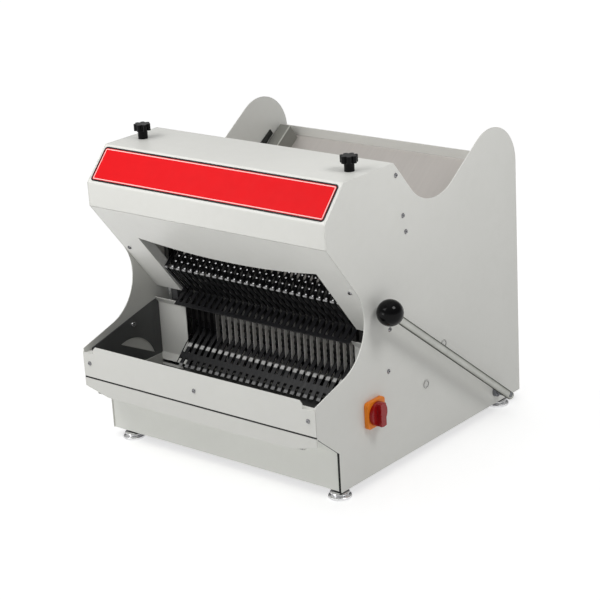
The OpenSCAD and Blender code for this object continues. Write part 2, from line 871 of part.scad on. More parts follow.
module crumb_drawer() {
  placed(paint)
    union() {
      upright(lip_y - seat_gap, sheet_t)
        polygon([[-half_w, lip_low_z], [-half_w, lip_low_z - drawer_end_h],
          [drawer_taper - half_w, lip_low_z - drawer_front_h + drawer_t],
          [-drawer_taper, lip_low_z - drawer_front_h], [drawer_taper, lip_low_z - drawer_front_h],
          [half_w - drawer_taper, lip_low_z - drawer_front_h + drawer_t],
          [half_w, lip_low_z - drawer_end_h], [half_w, lip_low_z]]);
      block(-drawer_x, drawer_x, lip_y - sheet_t, drawer_main_y, drawer_z, drawer_z + drawer_t);
      block(-drawer_tongue_x, drawer_tongue_x, drawer_main_y - drawer_t, drawer_rear_y, drawer_z,
        drawer_z + drawer_t);
      both()
        block(drawer_x - drawer_t, drawer_x, lip_y - sheet_t, drawer_main_y, drawer_z,
          drawer_z + drawer_side_h);
      both()
        block(drawer_tongue_x, drawer_x, drawer_main_y - drawer_t, drawer_main_y, drawer_z,
          drawer_z + drawer_t + drawer_rear_h);
      block(-drawer_tongue_x, drawer_tongue_x, drawer_rear_y - drawer_t, drawer_rear_y, drawer_z,
        drawer_z + drawer_t + drawer_rear_h);
    }
}

runner_z = drawer_z - seat_gap - plate_t;
runner_y = front_y - lip_reach * (runner_z - base_top_z) / (lip_low_z - base_top_z) + fold_w;

module drawer_runners() {
  placed(steel)
    both()
      union() {
        block(in_x - runner_w, fit_x, runner_y, drawer_main_y, runner_z, runner_z + plate_t);
        block(fit_x - plate_t, fit_x, runner_y, drawer_main_y, runner_z + plate_t - fold_w,
          runner_z + plate_t);
      }
}

base_front_y = front_y + base_front_set;
base_slope_share = 0.86;
base_slope_pt = [base_front_y, base_top_z] + base_slope_share * [-lip_reach, lip_low_z - base_top_z];
base_front_x = in_x - base_gap;
base_inner_y = base_front_y + sheet_t + seat_gap;
cover_y = back_y - sheet_t;

module base_front() {
  placed(paint)
    difference() {
      union() {
        sheet([[base_front_y, stand_h], [base_front_y, base_top_z], base_slope_pt], -sheet_t, -base_front_x,
          base_front_x);
        block(-fit_x, 0, base_front_y, base_front_y + sheet_t, stand_h, base_top_z);
      }
      block(-drawer_x - plate_t, drawer_x + plate_t, lip_y, base_front_y, drawer_z - plate_t, lip_top_z);
    }
}

// places of the four feet
foot_xs = [foot_left - half_w, half_w - foot_right];
foot_ys = [front_y + foot_front, back_y - foot_rear];
foot_stud_l = nut_t + foot_travel + foot_cone;

module base_plate() {
  placed(steel)
    difference() {
      block(-fit_x, fit_x, base_inner_y, cover_y - seat_gap, stand_h, floor_z);
      for (x = foot_xs, y = foot_ys)
        translate([x, y, stand_h - overrun])
          cylinder(h = plate_t + 2 * overrun, d = foot_stud_d + 2 * hole_gap);
    }
}

gland_x = half_w - gland_side;
gland_z = floor_z + gland_rise;

module rear_cover() {
  placed(paint)
    difference() {
      block(-fit_x, fit_x, cover_y, back_y, stand_h, rim_pt[1] - seat_gap);
      for (i = [0 : vent_n - 1])
        translate([(i - (vent_n - 1) / 2) * vent_pitch - vent_w / 2, cover_y - overrun, motor_z])
          cube([vent_w, sheet_t + 2 * overrun, vent_l]);
      rod_y(gland_bore + 2 * sheet_t + 2 * hole_gap, gland_x, cover_y - overrun, back_y + overrun, gland_z);
    }
}

// sloping chute floor with a folded rim and a slot for each pusher arm
arm_slot_x = in_x - arm_slot_side;
arm_slot_y0 = ramp_low_pt[0] - ramp_dir[0] * arm_slot_low;
arm_slot_y1 = ramp_top_pt[0] + ramp_dir[0] * arm_slot_top;

module chute_ramp() {
  placed(steel)
    difference() {
      sheet([rim_pt, ramp_top_pt, ramp_low_pt], sheet_t, -fit_x, fit_x);
      both()
        block(arm_slot_x - arm_slot_w, arm_slot_x, arm_slot_y0, arm_slot_y1, 0, hood_z);
    }
}

ramp_up = -left(ramp_dir);
fin_side_x = arm_slot_x - arm_slot_w - fin_gap;
fin_x = fin_side_x - plate_t;
fin_low_pt = ramp_low_pt - ramp_dir * arm_slot_low;
fin_top_pt = ramp_top_pt + ramp_dir * fin_rear;
fin_rear_pt = fin_top_pt + ramp_up * fin_h;
fin_cover_pt = fin_rear_pt + ramp_dir * fin_cover_l;

// side rails beside the arm slots, each with a cover past the slot's upper end
module chute_fins() {
  placed(steel)
    both()
      union() {
        across(fin_x, fin_side_x)
          polygon([fin_low_pt, fin_low_pt - ramp_dir * fin_h + ramp_up * fin_h, fin_rear_pt, fin_top_pt]);
        across(fin_x, in_x - fin_cover_side)
          polygon([fin_cover_pt - ramp_up * plate_t, fin_cover_pt, fin_rear_pt, fin_rear_pt - ramp_up * plate_t]);
      }
}

module chute_guard() {
  placed(paint)
    sheet([guard_top_pt, guard_low_pt, guard_low_pt - [guard_fold, 0]], sheet_t, -fit_x, fit_x);
}

// slotted combs before and under the blades
function blade_x(i) = (i - (blade_n - 1) / 2) * blade_pitch;
comb_top_pt = [blade_y - comb_rear, comb_head_z];
comb_front_pt = [blade_y - comb_front, comb_front_z];
comb_rear_pt = [blade_y - comb_rear, comb_rear_z];
comb_low_pt = [blade_y - comb_low, comb_low_z];
comb_leg = unit(comb_top_pt - comb_front_pt);
comb_end_x = mouth_half_w - seat_gap;

module upper_comb() {
  placed(dark)
    difference() {
      sheet([comb_top_pt + [0, comb_flange], comb_top_pt, comb_front_pt, comb_rear_pt, comb_low_pt], plate_t,
        -comb_end_x, comb_end_x);
      for (i = [0 : blade_n - 1])
        across(blade_x(i) - slot_w / 2, blade_x(i) + slot_w / 2)
          polygon([[comb_low_pt[0] + comb_strip, comb_low_z - overrun], [blade_y, comb_low_z - overrun],
            [blade_y, comb_rear_z + comb_strip], [comb_top_pt[0] - 2 * comb_strip, comb_head_z],
            [comb_front_pt[0] - overrun, comb_head_z], [comb_front_pt[0] - overrun, comb_rear_z],
            [comb_low_pt[0] + comb_strip, comb_rear_z]]);
    }
}

module comb_rivets() {
  placed(bright)
    for (i = [0 : blade_n - 2], k = [0 : rivet_n - 1])
      let (p = comb_front_pt + (rivet_first + k * rivet_pitch) * comb_leg)
        translate([blade_x(i) + blade_pitch / 2, p[0], p[1]])
          rotate([atan2(comb_leg[1], comb_leg[0]), 0, 0])
            cylinder(h = rivet_h, d1 = rivet_d, d2 = rivet_d - rivet_h);
}

comb_bend_y = blade_y - ramp_bend;
comb_slot_y = comb_bend_y - ramp_slot;
comb_x = window_x - seat_gap;

module lower_comb() {
  placed(dark)
    difference() {
      sheet([ramp_low_pt + ramp_dir * seat_gap, [comb_bend_y, ramp_bend_z], [blade_y - ramp_end, ramp_end_z]],
        plate_t, -comb_x, comb_x);
      for (i = [0 : blade_n - 1]) {
        block(blade_x(i) - slot_w / 2, blade_x(i) + slot_w / 2, comb_slot_y, blade_y + blade_w / 2 + room,
          0, hood_z);
        block(blade_x(i) - slot_w / 2, blade_x(i) + slot_w / 2, blade_y - ramp_end - overrun,
          comb_slot_y - ramp_strip, 0, hood_z);
      }
    }
}

module window_plates() {
  placed(paint)
    both()
      sheet([[window_y, window_top_z] - window_fold * aim(mouth_slope), [window_y, window_top_z],
        [window_y, window_low_z], [window_y, window_low_z] + window_fold * aim(180 + window_fold_turn)],
        sheet_t, window_x, fit_x);
}

// dark cheeks inside the trough, each with a round-topped window and a bolt
cheek_rear_y = blade_y - cheek_rear;
cheek_front_y = lip_y + beam_d + room;
cheek_low_z = runner_z + fold_w;
cheek_r = cheek_chord * cheek_chord / (8 * cheek_rise) + cheek_rise / 2;
cheek_face_x = fit_x - cheek_t;

module cheek() {
  across(cheek_face_x, fit_x)
    difference() {
      polygon([[cheek_front_y, cheek_low_z], [cheek_rear_y, cheek_low_z], [cheek_rear_y, cheek_rear_z],
        [cheek_front_y, cheek_front_z]]);
      translate([blade_y - cheek_hole_set, cheek_hole_z])
        rotate(-cheek_hole_tilt)
          intersection() {
            translate([0, cheek_rise - cheek_r])
              circle(cheek_r);
            translate([-cheek_chord / 2, 0])
              square([cheek_chord, cheek_rise]);
          }
    }
}

module trough_cheeks() {
  placed(dark) {
    mirror([1, 0, 0])
      cheek();
    difference() {
      cheek();
      block(0, half_w, switch_y - switch_body_s / 2 - room, switch_y + switch_body_s / 2 + room,
        switch_z - switch_body_s / 2 - room, switch_z + switch_body_s / 2 + room);
    }
  }
}

module cheek_bolts() {
  placed(bright)
    both()
      translate([cheek_face_x, blade_y - cheek_bolt_set, cheek_bolt_z])
        rotate([0, -90, 0])
          cylinder(h = 2 * head_h, d1 = cheek_bolt_d, d2 = cheek_bolt_d - head_h);
}

// upright guide rods and the blocks that hold them to the side panels
rod_x_at = upright_x + upright_w + bush_d / 2 + bar_gap / 2;
rod_top_z = hood_z - bar_head / 2;
rod_block_h = bush_d - room;
rod_block_half = (rod_d + hub_wall) / 2;

module guide_rods() {
  placed(bright)
    both()
      translate([rod_x_at, blade_y, floor_z])
        cylinder(h = rod_top_z - floor_z, d = rod_d);
}

module rod_block(z) {
  difference() {
    block(rod_x_at - rod_block_half, fit_x, blade_y - rod_block_half, blade_y + rod_block_half, z,
      z + rod_block_h);
    translate([rod_x_at, blade_y, z - overrun])
      cylinder(h = rod_block_h + 2 * overrun, d = rod_d + 2 * run_gap);
  }
}

module rod_blocks() {
  placed(cast)
    both() {
      rod_block(floor_z);
      rod_block(rod_top_z - rod_block_h);
    }
}

// blade frames: bars with kerfs, uprights, guide bushes and drive yokes
frame_x = upright_x + upright_w;
bush_step = bush_l + 2 * stroke + room;
bush_low_z = bar_low_z + room;
bush_top_z = bar_top_z - bush_l - bush_step;
yoke_turn = stroke / rocker_arm * 180 / PI;
yoke_shift = rocker_arm * (1 - cos(yoke_turn));
pin_room = rocker_pin_d / 2 + yoke_play;
tang_a_y = blade_y - blade_w / 2;
tang_b_y = blade_y + blade_w / 2 - tang_w;
kerf_w = blade_t + 2 * hole_gap;

module bush(z, y0) {
  translate([rod_x_at, blade_y, z])
    cylinder(h = bush_l, d = bush_d);
  block(upright_x, rod_x_at, y0, y0 + bar_d, z, z + bush_l);
}

// outline of a yoke plate; s is -1 for the front frame and 1 for the rear frame
module yoke(s, y_in, y_out) {
  tip = blade_y + s * rocker_arm;
  far = tip + s * (pin_room + hub_wall);
  near = tip - s * (pin_room + hub_wall + yoke_shift);
  difference() {
    polygon([[far, rocker_z - yoke_half], [far, rocker_z + yoke_half], [y_out, bar_low_z + bar_d],
      [y_in, bar_low_z + bar_d], [y_in, bar_low_z], [y_out, bar_low_z], [near, rocker_z - yoke_half]]);
    translate([min(tip + s * pin_room, tip - s * (pin_room + yoke_shift)), rocker_z - pin_room])
      square([2 * pin_room + yoke_shift, 2 * pin_room]);
  }
}

module blade_frame(s, bar_y, kerf_y, first) {
  difference() {
    union() {
      for (z = [bar_low_z, bar_top_z])
        block(-frame_x, frame_x, bar_y, bar_y + bar_d, z, z + bar_h);
      both() {
        block(upright_x, frame_x, bar_y, bar_y + bar_d, bar_low_z, bar_top_z + bar_h);
        bush(bush_low_z + (s + 1) / 2 * bush_step, bar_y);
        bush(bush_top_z + (s + 1) / 2 * bush_step, bar_y);
        across(yoke_x, yoke_x + yoke_t)
          yoke(s, s < 0 ? bar_y + bar_d : bar_y, s < 0 ? bar_y : bar_y + bar_d);
      }
    }
    both()
      translate([rod_x_at, blade_y, 0])
        cylinder(h = hood_z, d = rod_d + 2 * run_gap);
    for (i = [first : 2 : blade_n - 1], z = [bar_low_z, bar_top_z])
      block(blade_x(i) - kerf_w / 2, blade_x(i) + kerf_w / 2, kerf_y - hole_gap, kerf_y + tang_w + hole_gap,
        z - overrun, z + bar_h + overrun);
  }
}

module frame_a() {
  placed(steel)
    blade_frame(-1, bar_a_y, tang_a_y, 0);
}

module frame_b() {
  placed(steel)
    blade_frame(1, bar_b_y, tang_b_y, 1);
}

// one blade: narrow ends, a straight front edge and wave teeth towards the bread
tang_top_z = bar_top_z + bar_h + 2 * pin_d;
tang_low_z = bar_low_z - 2 * pin_d;
tooth_z = ramp_bend_z;
tooth_n = floor((comb_head_z - tooth_z) / tooth_pitch);
blade_back = blade_y + blade_w / 2;

module blade(tang_y) {
  difference() {
    polygon(concat(
      [[tang_y, tang_low_z], [tang_y + tang_w, tang_low_z], [tang_y + tang_w, blade_low_z],
        [blade_back, blade_low_z], [blade_back, tooth_z]],
      [for (k = [0 : tooth_n - 1], h = [1, 2])
        [blade_back - (h == 1 ? tooth_d : 0), tooth_z + (k + h / 2) * tooth_pitch]],
      [[blade_back, blade_top_z], [tang_y + tang_w, blade_top_z], [tang_y + tang_w, tang_top_z],
        [tang_y, tang_top_z], [tang_y, blade_top_z], [blade_y - blade_w / 2, blade_top_z],
        [blade_y - blade_w / 2, blade_low_z], [tang_y, blade_low_z]]));
    for (z = [bar_low_z - pin_d / 2, bar_top_z + bar_h + pin_d / 2])
      translate([tang_y + tang_w / 2, z])
        circle(d = pin_d / 2);
  }
}

module blade_set_of(tang_y, first) {
  for (i = [first : 2 : blade_n - 1])
    across(blade_x(i) - blade_t / 2, blade_x(i) + blade_t / 2)
      blade(tang_y);
}

module pin_set_of(tang_y, first) {
  for (i = [first : 2 : blade_n - 1], z = [bar_low_z - pin_d / 2, bar_top_z + bar_h + pin_d / 2]) {
    rod_x(pin_d / 2, blade_x(i) - pin_l / 2, blade_x(i) + pin_l / 2, tang_y + tang_w / 2, z);
    for (s = [-1, 1])
      rod_x(pin_d, blade_x(i) + s * (pin_l + kerf_w) / 4 - (pin_l - kerf_w) / 4,
        blade_x(i) + s * (pin_l + kerf_w) / 4 + (pin_l - kerf_w) / 4, tang_y + tang_w / 2, z);
  }
}

module blades_a() {
  placed(bright)
    blade_set_of(tang_a_y, 0);
}

module blades_b() {
  placed(bright)
    blade_set_of(tang_b_y, 1);
}

module blade_pins_a() {
  placed(steel)
    pin_set_of(tang_a_y, 0);
}

module blade_pins_b() {
  placed(steel)
    pin_set_of(tang_b_y, 1);
}

// rocker shaft with a two-ended arm for each yoke pair and one drive arm
rocker_in = yoke_x - seat_gap - rocker_t;
drive_y = crank_y - crank_throw;
rocker_end_d = rocker_pin_d + 2 * room;
rocker_hub_d = rocker_d + 2 * room;
rocker_len = yoke_x + yoke_t + 2 * hub_wall + 2 * bearing_t;
conrod_gap = seat_gap + yoke_play;

module rocker_bar(x, y0, y1) {
  across(x, x + rocker_t)
    union() {
      translate([y0, rocker_z - rocker_end_d / 2 + plate_t])
        square([y1 - y0, rocker_end_d - 2 * plate_t]);
      translate([y0, rocker_z])
        circle(d = rocker_end_d);
      translate([y1, rocker_z])
        circle(d = rocker_end_d);
    }
}

module rocker() {
  placed(cast)
    union() {
      rod_x(rocker_d, -rocker_len, rocker_len, blade_y, rocker_z);
      both() {
        rocker_bar(rocker_in, blade_y - rocker_arm, blade_y + rocker_arm);
        for (s = [-1, 1])
          rod_x(rocker_pin_d, rocker_in, yoke_x + yoke_t + head_h, blade_y + s * rocker_arm, rocker_z);
      }
      rocker_bar(conrod_gap, blade_y, drive_y);
    }
}

module rocker_bearings() {
  placed(cast)
    both()
      difference() {
        block(rocker_len - 2 * bearing_t, rocker_len - bearing_t / 2, blade_y - rocker_hub_d / 2,
          blade_y + rocker_hub_d / 2, floor_z, rocker_z + rocker_d / 2 + plate_t);
        rod_x(rocker_d + 2 * run_gap, 0, half_w, blade_y, rocker_z);
      }
}

// overhung crank on the left, its pulley, bearings and connecting rod
crank_x1 = -conrod_t - conrod_gap;
crank_x0 = crank_x1 - crank_disc_t;
pulley_x = -in_x + pulley_side;
post_x = crank_x0 - conrod_t - bearing_t;
post_half = crank_d / 2 + hub_wall;

module crankshaft() {
  placed(bright)
    union() {
      rod_x(crank_d, -fit_x + conrod_gap, crank_x1, crank_y, crank_z);
      rod_x(crank_disc_d, crank_x0, crank_x1, crank_y, crank_z);
      rod_x(crank_pin_d, crank_x0, 0, drive_y, crank_z);
    }
}

module v_pulley(d, bore, x, y, z) {
  translate([x, y, z])
    rotate([0, 90, 0])
      difference() {
        cylinder(h = pulley_w, d = d, center = true);
        cylinder(h = pulley_w + 2 * overrun, d = bore, center = true);
        difference() {
          cylinder(h = belt_w + 2 * belt_side, d = d + 2 * overrun, center = true);
          cylinder(h = pulley_w, d = d - 2 * groove_d, center = true);
        }
      }
}

module crank_pulley() {
  placed(cast)
    v_pulley(pulley_d, crank_d + 2 * run_gap, pulley_x, crank_y, crank_z);
}

module crank_bearings() {
  placed(cast)
    difference() {
      union() {
        rod_x(bearing_d, -fit_x, -fit_x + bearing_t, crank_y, crank_z);
        block(post_x - bearing_t, post_x + bearing_t / 2, crank_y - post_half, crank_y + post_half, floor_z,
          crank_z + post_half);
      }
      rod_x(crank_d + 2 * run_gap, -half_w, 0, crank_y, crank_z);
    }
}

module conrod() {
  placed(cast)
    across(-conrod_t, 0)
      difference() {
        union() {
          translate([drive_y - rod_w / 4, rocker_z])
            square([rod_w / 2, crank_z - rocker_z]);
          for (z = [rocker_z, crank_z])
            translate([drive_y, z])
              circle(d = rod_w);
        }
        translate([drive_y, crank_z])
          circle(d = crank_pin_d + 2 * run_gap);
        translate([drive_y, rocker_z])
          circle(d = rocker_pin_d);
      }
}

// motor on its saddle, its pulley and the belt
motor_x0 = pulley_x + pulley_w / 2 + bearing_t;
motor_x1 = motor_x0 + motor_l;

module motor_body() {
  placed(cast)
    difference() {
      union() {
        rod_x(motor_d - 2 * rib_h, motor_x0, motor_x1, motor_y, motor_z);
        rod_x(motor_d, motor_x0, motor_x0 + shield_t, motor_y, motor_z);
        rod_x(motor_d, motor_x1 - shield_t, motor_x1, motor_y, motor_z);
        for (i = [0 : rib_n - 1])
          translate([motor_x0, motor_y, motor_z])
            rotate([i * 360 / rib_n, 0, 0])
              translate([0, -rib_w / 2, motor_d / 2 - 2 * rib_h])
                cube([motor_l, rib_w, 2 * rib_h - sheet_t]);
      }
      rod_x(motor_shaft_d + 2 * run_gap, motor_x0 - overrun, motor_x0 + shield_t, motor_y, motor_z);
    }
}

module motor_foot() {
  placed(steel)
    difference() {
      for (x = [motor_x0, motor_x1 - shield_t])
        block(x, x + shield_t, motor_y - motor_d / 2, motor_y + motor_d / 2, floor_z, motor_z - motor_d / 4);
      rod_x(motor_d + 2 * seat_gap, motor_x0 - overrun, motor_x1 + overrun, motor_y, motor_z);
    }
}

module motor_pulley() {
  placed(cast)
    union() {
      v_pulley(motor_pulley_d, motor_shaft_d, pulley_x, motor_y, motor_z);
      rod_x(motor_shaft_d, pulley_x - pulley_w / 2, motor_x0 + shield_t - seat_gap, motor_y, motor_z);
    }
}

belt_a = [crank_y, crank_z];
belt_b = [motor_y, motor_z];
belt_ra = pulley_d / 2 - groove_d + 2 * seat_gap;
belt_rb = motor_pulley_d / 2 - groove_d + 2 * seat_gap;
belt_dir = atan2(belt_b[1] - belt_a[1], belt_b[0] - belt_a[0]);
belt_open = acos((belt_ra - belt_rb) / norm(belt_b - belt_a));

module belt_loop(grow) {
  ra = belt_ra + grow;
  rb = belt_rb + grow;
  up = aim(belt_dir + belt_open);
  down = aim(belt_dir - belt_open);
  translate(belt_a)
    circle(ra + blend);
  translate(belt_b)
    circle(rb + blend);
  polygon([belt_a + ra * up, belt_a, belt_a + ra * down, belt_b + rb * down, belt_b, belt_b + rb * up]);
}

module drive_belt() {
  placed(black)
    across(pulley_x - belt_w / 2, pulley_x + belt_w / 2)
      difference() {
        belt_loop(belt_h);
        belt_loop(0);
      }
}

// pusher: shaft, arms, slotted plate with its cross tube, lever and ball
arm_x1 = in_x - arm_side;
arm_x0 = arm_x1 - arm_t;
pusher_y = blade_y + pusher_set;
pusher_low_z = ramp_z(pusher_y) + pusher_gap;
pusher_top_z = pusher_low_z + pusher_h;
tube_y = pusher_y + pusher_t / 2 + beam_tube_d / 2;
tube_z = pusher_top_z - beam_tube_d / 2;

module pusher_shaft() {
  placed(cast)
    union() {
      rod_x(shaft_d, -fit_x, half_w + lever_out / 3, shaft_y, shaft_z);
      rod_x(shaft_tip_d, half_w, lever_x + lever_d / 2, shaft_y, shaft_z);
    }
}

module pusher_arms() {
  hub = [shaft_y, shaft_z];
  end = [tube_y, tube_z];
  side = left(unit(end - hub)) * arm_w / 2;
  placed(steel)
    both()
      across(arm_x0, arm_x1)
        difference() {
          union() {
            polygon([hub + side, end + side, end - side, hub - side]);
            translate(hub)
              circle(d = shaft_d + 2 * hub_wall);
            translate(end)
              circle(d = beam_tube_d + hub_wall);
          }
          translate(hub)
            circle(d = shaft_d + 2 * run_gap);
          translate(end)
            circle(d = beam_tube_d + 2 * run_gap);
        }
}

module pusher_plate() {
  placed(bright)
    union() {
      difference() {
        block(-pusher_half_w, pusher_half_w, pusher_y, pusher_y + pusher_t, pusher_low_z, pusher_top_z);
        for (i = [0 : blade_n - 1])
          block(blade_x(i) - slot_w / 2, blade_x(i) + slot_w / 2, pusher_y - overrun,
            pusher_y + pusher_t + overrun, pusher_low_z - overrun, tube_z - beam_tube_d);
      }
      rod_x(beam_tube_d, -arm_x1, arm_x1, tube_y, tube_z);
    }
}

// the lever's own frame: along its tube from the shaft
module on_lever() {
  translate([lever_x, shaft_y, shaft_z])
    rotate([90 - lever_tilt, 0, 0])
      children();
}

module lever_tube() {
  placed(bright)
    difference() {
      on_lever()
        difference() {
          translate([0, 0, -lever_tail])
            cylinder(h = lever_l + lever_tail - ball_d / 4, d = lever_d);
          translate([0, 0, lever_tail])
            cylinder(h = lever_l, d = lever_d - 2 * lever_wall);
        }
      rod_x(shaft_tip_d + 2 * run_gap, half_w, lever_x + lever_d, shaft_y, shaft_z);
    }
}

module lever_ball() {
  placed(black)
    on_lever()
      difference() {
        translate([0, 0, lever_l])
          sphere(d = ball_d);
        translate([0, 0, lever_l - ball_d])
          cylinder(h = ball_d - ball_d / 4, d = lever_d + 2 * run_gap);
      }
}

module shaft_bearings() {
  placed(cast)
    both()
      difference() {
        rod_x(bearing_d, fit_x - bearing_t + seat_gap, fit_x, shaft_y, shaft_z);
        rod_x(shaft_d + 2 * run_gap, 0, half_w, shaft_y, shaft_z);
      }
}

// main switch: plate outside, body inside and a turning knob
module on_side(y, z) {
  translate([half_w, y, z])
    rotate([90, 0, 90])
      children();
}

module switch_plate() {
  placed(orange)
    on_side(switch_y, switch_z)
      round_plate(switch_s, switch_s, label_r, switch_t);
}

module switch_body() {
  placed(dark)
    union() {
      block(in_x - seat_gap - switch_body_d, in_x - seat_gap, switch_y - switch_body_s / 2,
        switch_y + switch_body_s / 2, switch_z - switch_body_s / 2, switch_z + switch_body_s / 2);
      rod_x(switch_neck_d, in_x - switch_neck_d, half_w, switch_y, switch_z);
    }
}

module switch_knob() {
  placed(red)
    on_side(switch_y, switch_z)
      translate([0, 0, switch_t + seat_gap])
        union() {
          cylinder(h = switch_knob_h - switch_grip_h, d = switch_knob_d);
          intersection() {
            cylinder(h = switch_knob_h, d = switch_knob_d);
            translate([-switch_grip_w / 2, -switch_knob_d, 0])
              cube([switch_grip_w, 2 * switch_knob_d, switch_knob_h]);
          }
        }
}

// low levelling feet with a stud, and their nuts on the base plate
module foot(x, y) {
  placed(bright)
    translate([x, y, 0]) {
      cylinder(h = foot_rim, d = foot_d);
      translate([0, 0, foot_rim])
        cylinder(h = foot_cone, d1 = foot_d - foot_cone, d2 = nut_d);
      cylinder(h = floor_z + foot_stud_l, d = foot_stud_d);
    }
}

module foot_front_left() {
  foot(foot_xs[0], foot_ys[0]);
}

module foot_front_right() {
  foot(foot_xs[1], foot_ys[0]);
}

module foot_rear_left() {
  foot(foot_xs[0], foot_ys[1]);
}

module foot_rear_right() {
  foot(foot_xs[1], foot_ys[1]);
}

module foot_nuts() {
  placed(bright)
    for (x = foot_xs, y = foot_ys)
      translate([x, y, floor_z])
        difference() {
          cylinder(h = nut_t, d = nut_d, $fn = 6);
          translate([0, 0, -overrun])
            cylinder(h = nut_t + 2 * overrun, d = foot_stud_d + 2 * run_gap);
        }
}

// round-headed screw with a socket, pointing down, its head on the level plane
module screw(depth) {
  difference() {
    union() {
      cylinder(h = head_h, d1 = head_d, d2 = head_d - head_h);
      translate([0, 0, -depth])
        cylinder(h = depth + head_h / 2, d = screw_d);
    }
    translate([0, 0, head_h / 2])
      cylinder(h = head_h, d = socket_d, $fn = 6);
  }
}

module panel_screws() {
  placed(bright)
    both()
      for (p = panel_screw_pts)
        on_side(p[0], p[1])
          screw(panel_t);
}

module plate_screws() {
  placed(bright)
    union() {
      for (x = [-1, 0, 1])
        translate([x * lip_screw_x, lip_face_y, lip_screw_z])
          rotate([90, 0, 0])
            screw(sheet_t);
      both()
        on_frame()
          translate([frame_screw_x, -frame_screw_set, 0])
            screw(sheet_t);
    }
}

module hole_plugs() {
  placed(dark)
    both()
      for (p = concat([[crank_y, crank_z]], plug_pts))
        on_side(p[0], p[1])
          difference() {
            union() {
              cylinder(h = plug_h, d = plug_d);
              translate([0, 0, -panel_t])
                cylinder(h = panel_t + plug_h / 2, d = plug_d - 2 * plug_h - 2 * hole_gap);
            }
            translate([0, 0, plug_h / 2])
              cylinder(h = plug_h, d = plug_d - 2 * head_h);
          }
}

// cable inlet on the back cover
module cable_inlet() {
  placed(black)
    difference() {
      union() {
        rod_y(gland_d, gland_x, back_y, back_y + gland_l, gland_z);
        rod_y(gland_bore + 2 * sheet_t, gland_x, cover_y - gland_l / 2, back_y + gland_l / 2, gland_z);
      }
      rod_y(gland_bore, gland_x, cover_y - gland_l, back_y + 2 * gland_l, gland_z);
    }
}

side_panel_left();
side_panel_right();
hood_cover();
hood_frame();
label_panel();
label_border();
knob_left();
knob_right();
lip_plate();
lip_beam();
crumb_drawer();
drawer_runners();
base_front();
base_plate();
rear_cover();
chute_ramp();
chute_fins();
chute_guard();
upper_comb();
comb_rivets();
lower_comb();
window_plates();
trough_cheeks();
cheek_bolts();
guide_rods();
rod_blocks();
frame_a();
blades_a();
blade_pins_a();
frame_b();
blades_b();
blade_pins_b();
rocker();
rocker_bearings();
crankshaft();
crank_pulley();
crank_bearings();
conrod();
motor_body();
motor_foot();
motor_pulley();
drive_belt();
pusher_shaft();
pusher_arms();
pusher_plate();
lever_tube();
lever_ball();
shaft_bearings();
switch_plate();
switch_body();
switch_knob();
foot_front_left();
foot_front_right();
foot_rear_left();
foot_rear_right();
foot_nuts();
panel_screws();
plate_screws();
hole_plugs();
cable_inlet();
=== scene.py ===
import json
import math

import bmesh
import bpy
from mathutils import Matrix, Vector


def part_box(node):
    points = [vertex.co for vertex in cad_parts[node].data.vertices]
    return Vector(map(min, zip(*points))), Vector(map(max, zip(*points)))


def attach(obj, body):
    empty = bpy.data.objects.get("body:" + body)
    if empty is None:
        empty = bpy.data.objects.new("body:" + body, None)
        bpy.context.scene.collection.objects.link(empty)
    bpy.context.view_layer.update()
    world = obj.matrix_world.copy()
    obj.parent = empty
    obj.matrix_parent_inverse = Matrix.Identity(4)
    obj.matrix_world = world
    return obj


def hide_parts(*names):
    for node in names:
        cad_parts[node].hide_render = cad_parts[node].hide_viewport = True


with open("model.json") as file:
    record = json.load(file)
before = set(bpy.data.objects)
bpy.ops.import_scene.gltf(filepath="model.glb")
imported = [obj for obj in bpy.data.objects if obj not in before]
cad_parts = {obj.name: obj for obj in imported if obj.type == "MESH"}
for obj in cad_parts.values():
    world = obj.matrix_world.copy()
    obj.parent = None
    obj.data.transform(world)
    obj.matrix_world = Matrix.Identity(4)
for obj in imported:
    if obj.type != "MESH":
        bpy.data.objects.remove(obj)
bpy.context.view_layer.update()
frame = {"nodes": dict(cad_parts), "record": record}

NODES = frame["nodes"]
SLOT_OF = {row["node"]: row["material_slot"] for row in frame["record"]["subparts"]}
BODIES = frame["record"]["behaviour"]["bodies"]
BODY_OF = {node: body for body, nodes in BODIES.items() for node in nodes}
MM = 0.001
RUB_AND_HIGHLIGHT = "rub_and_highlight"  # face attribute: how much a rounded edge shows rubbing, on the rail's folds a painted highlight


# ---------------------------------------------------------------- small helpers

def added(name, data):
    """A new object in the scene."""
    obj = bpy.data.objects.new(name, data)
    bpy.context.scene.collection.objects.link(obj)
    return obj


def feed(tree, socket, value):
    """Links a socket to an output, or sets its own value."""
    if hasattr(value, "is_linked"):
        tree.links.new(value, socket)
    else:
        socket.default_value = value


def fill_ramp(node, stops):
    """Gives a colour ramp its stops, each a place and a colour."""
    elements = node.color_ramp.elements
    while len(elements) < len(stops):
        elements.new(0.5)
    for element, (place, colour) in zip(elements, stops):
        element.position = place
        element.color = colour


def srgb(red, green, blue):
    """Linear colour of a screen colour given in 0..255."""
    def linear(value):
        share = value / 255.0
        return share / 12.92 if share <= 0.04045 else ((share + 0.055) / 1.055) ** 2.4
    return (linear(red), linear(green), linear(blue), 1.0)


def grey(value):
    return (value, value, value, 1.0)


def tinted(colour, factor):
    return tuple(min(1.0, c * factor) for c in colour[:3]) + (1.0,)


# ---------------------------------------------------------------- finishes

GRAIN_SCALE, GRAIN_ROUGH = 260.0, 0.65  # noise of the lines in rolled sheet
GRAIN_REACH, DRIFT_REACH = 0.25, 0.2    # how far a tone's stops lie from the middle
GRAIN_DEPTH = 0.2                       # depth of those lines, mm


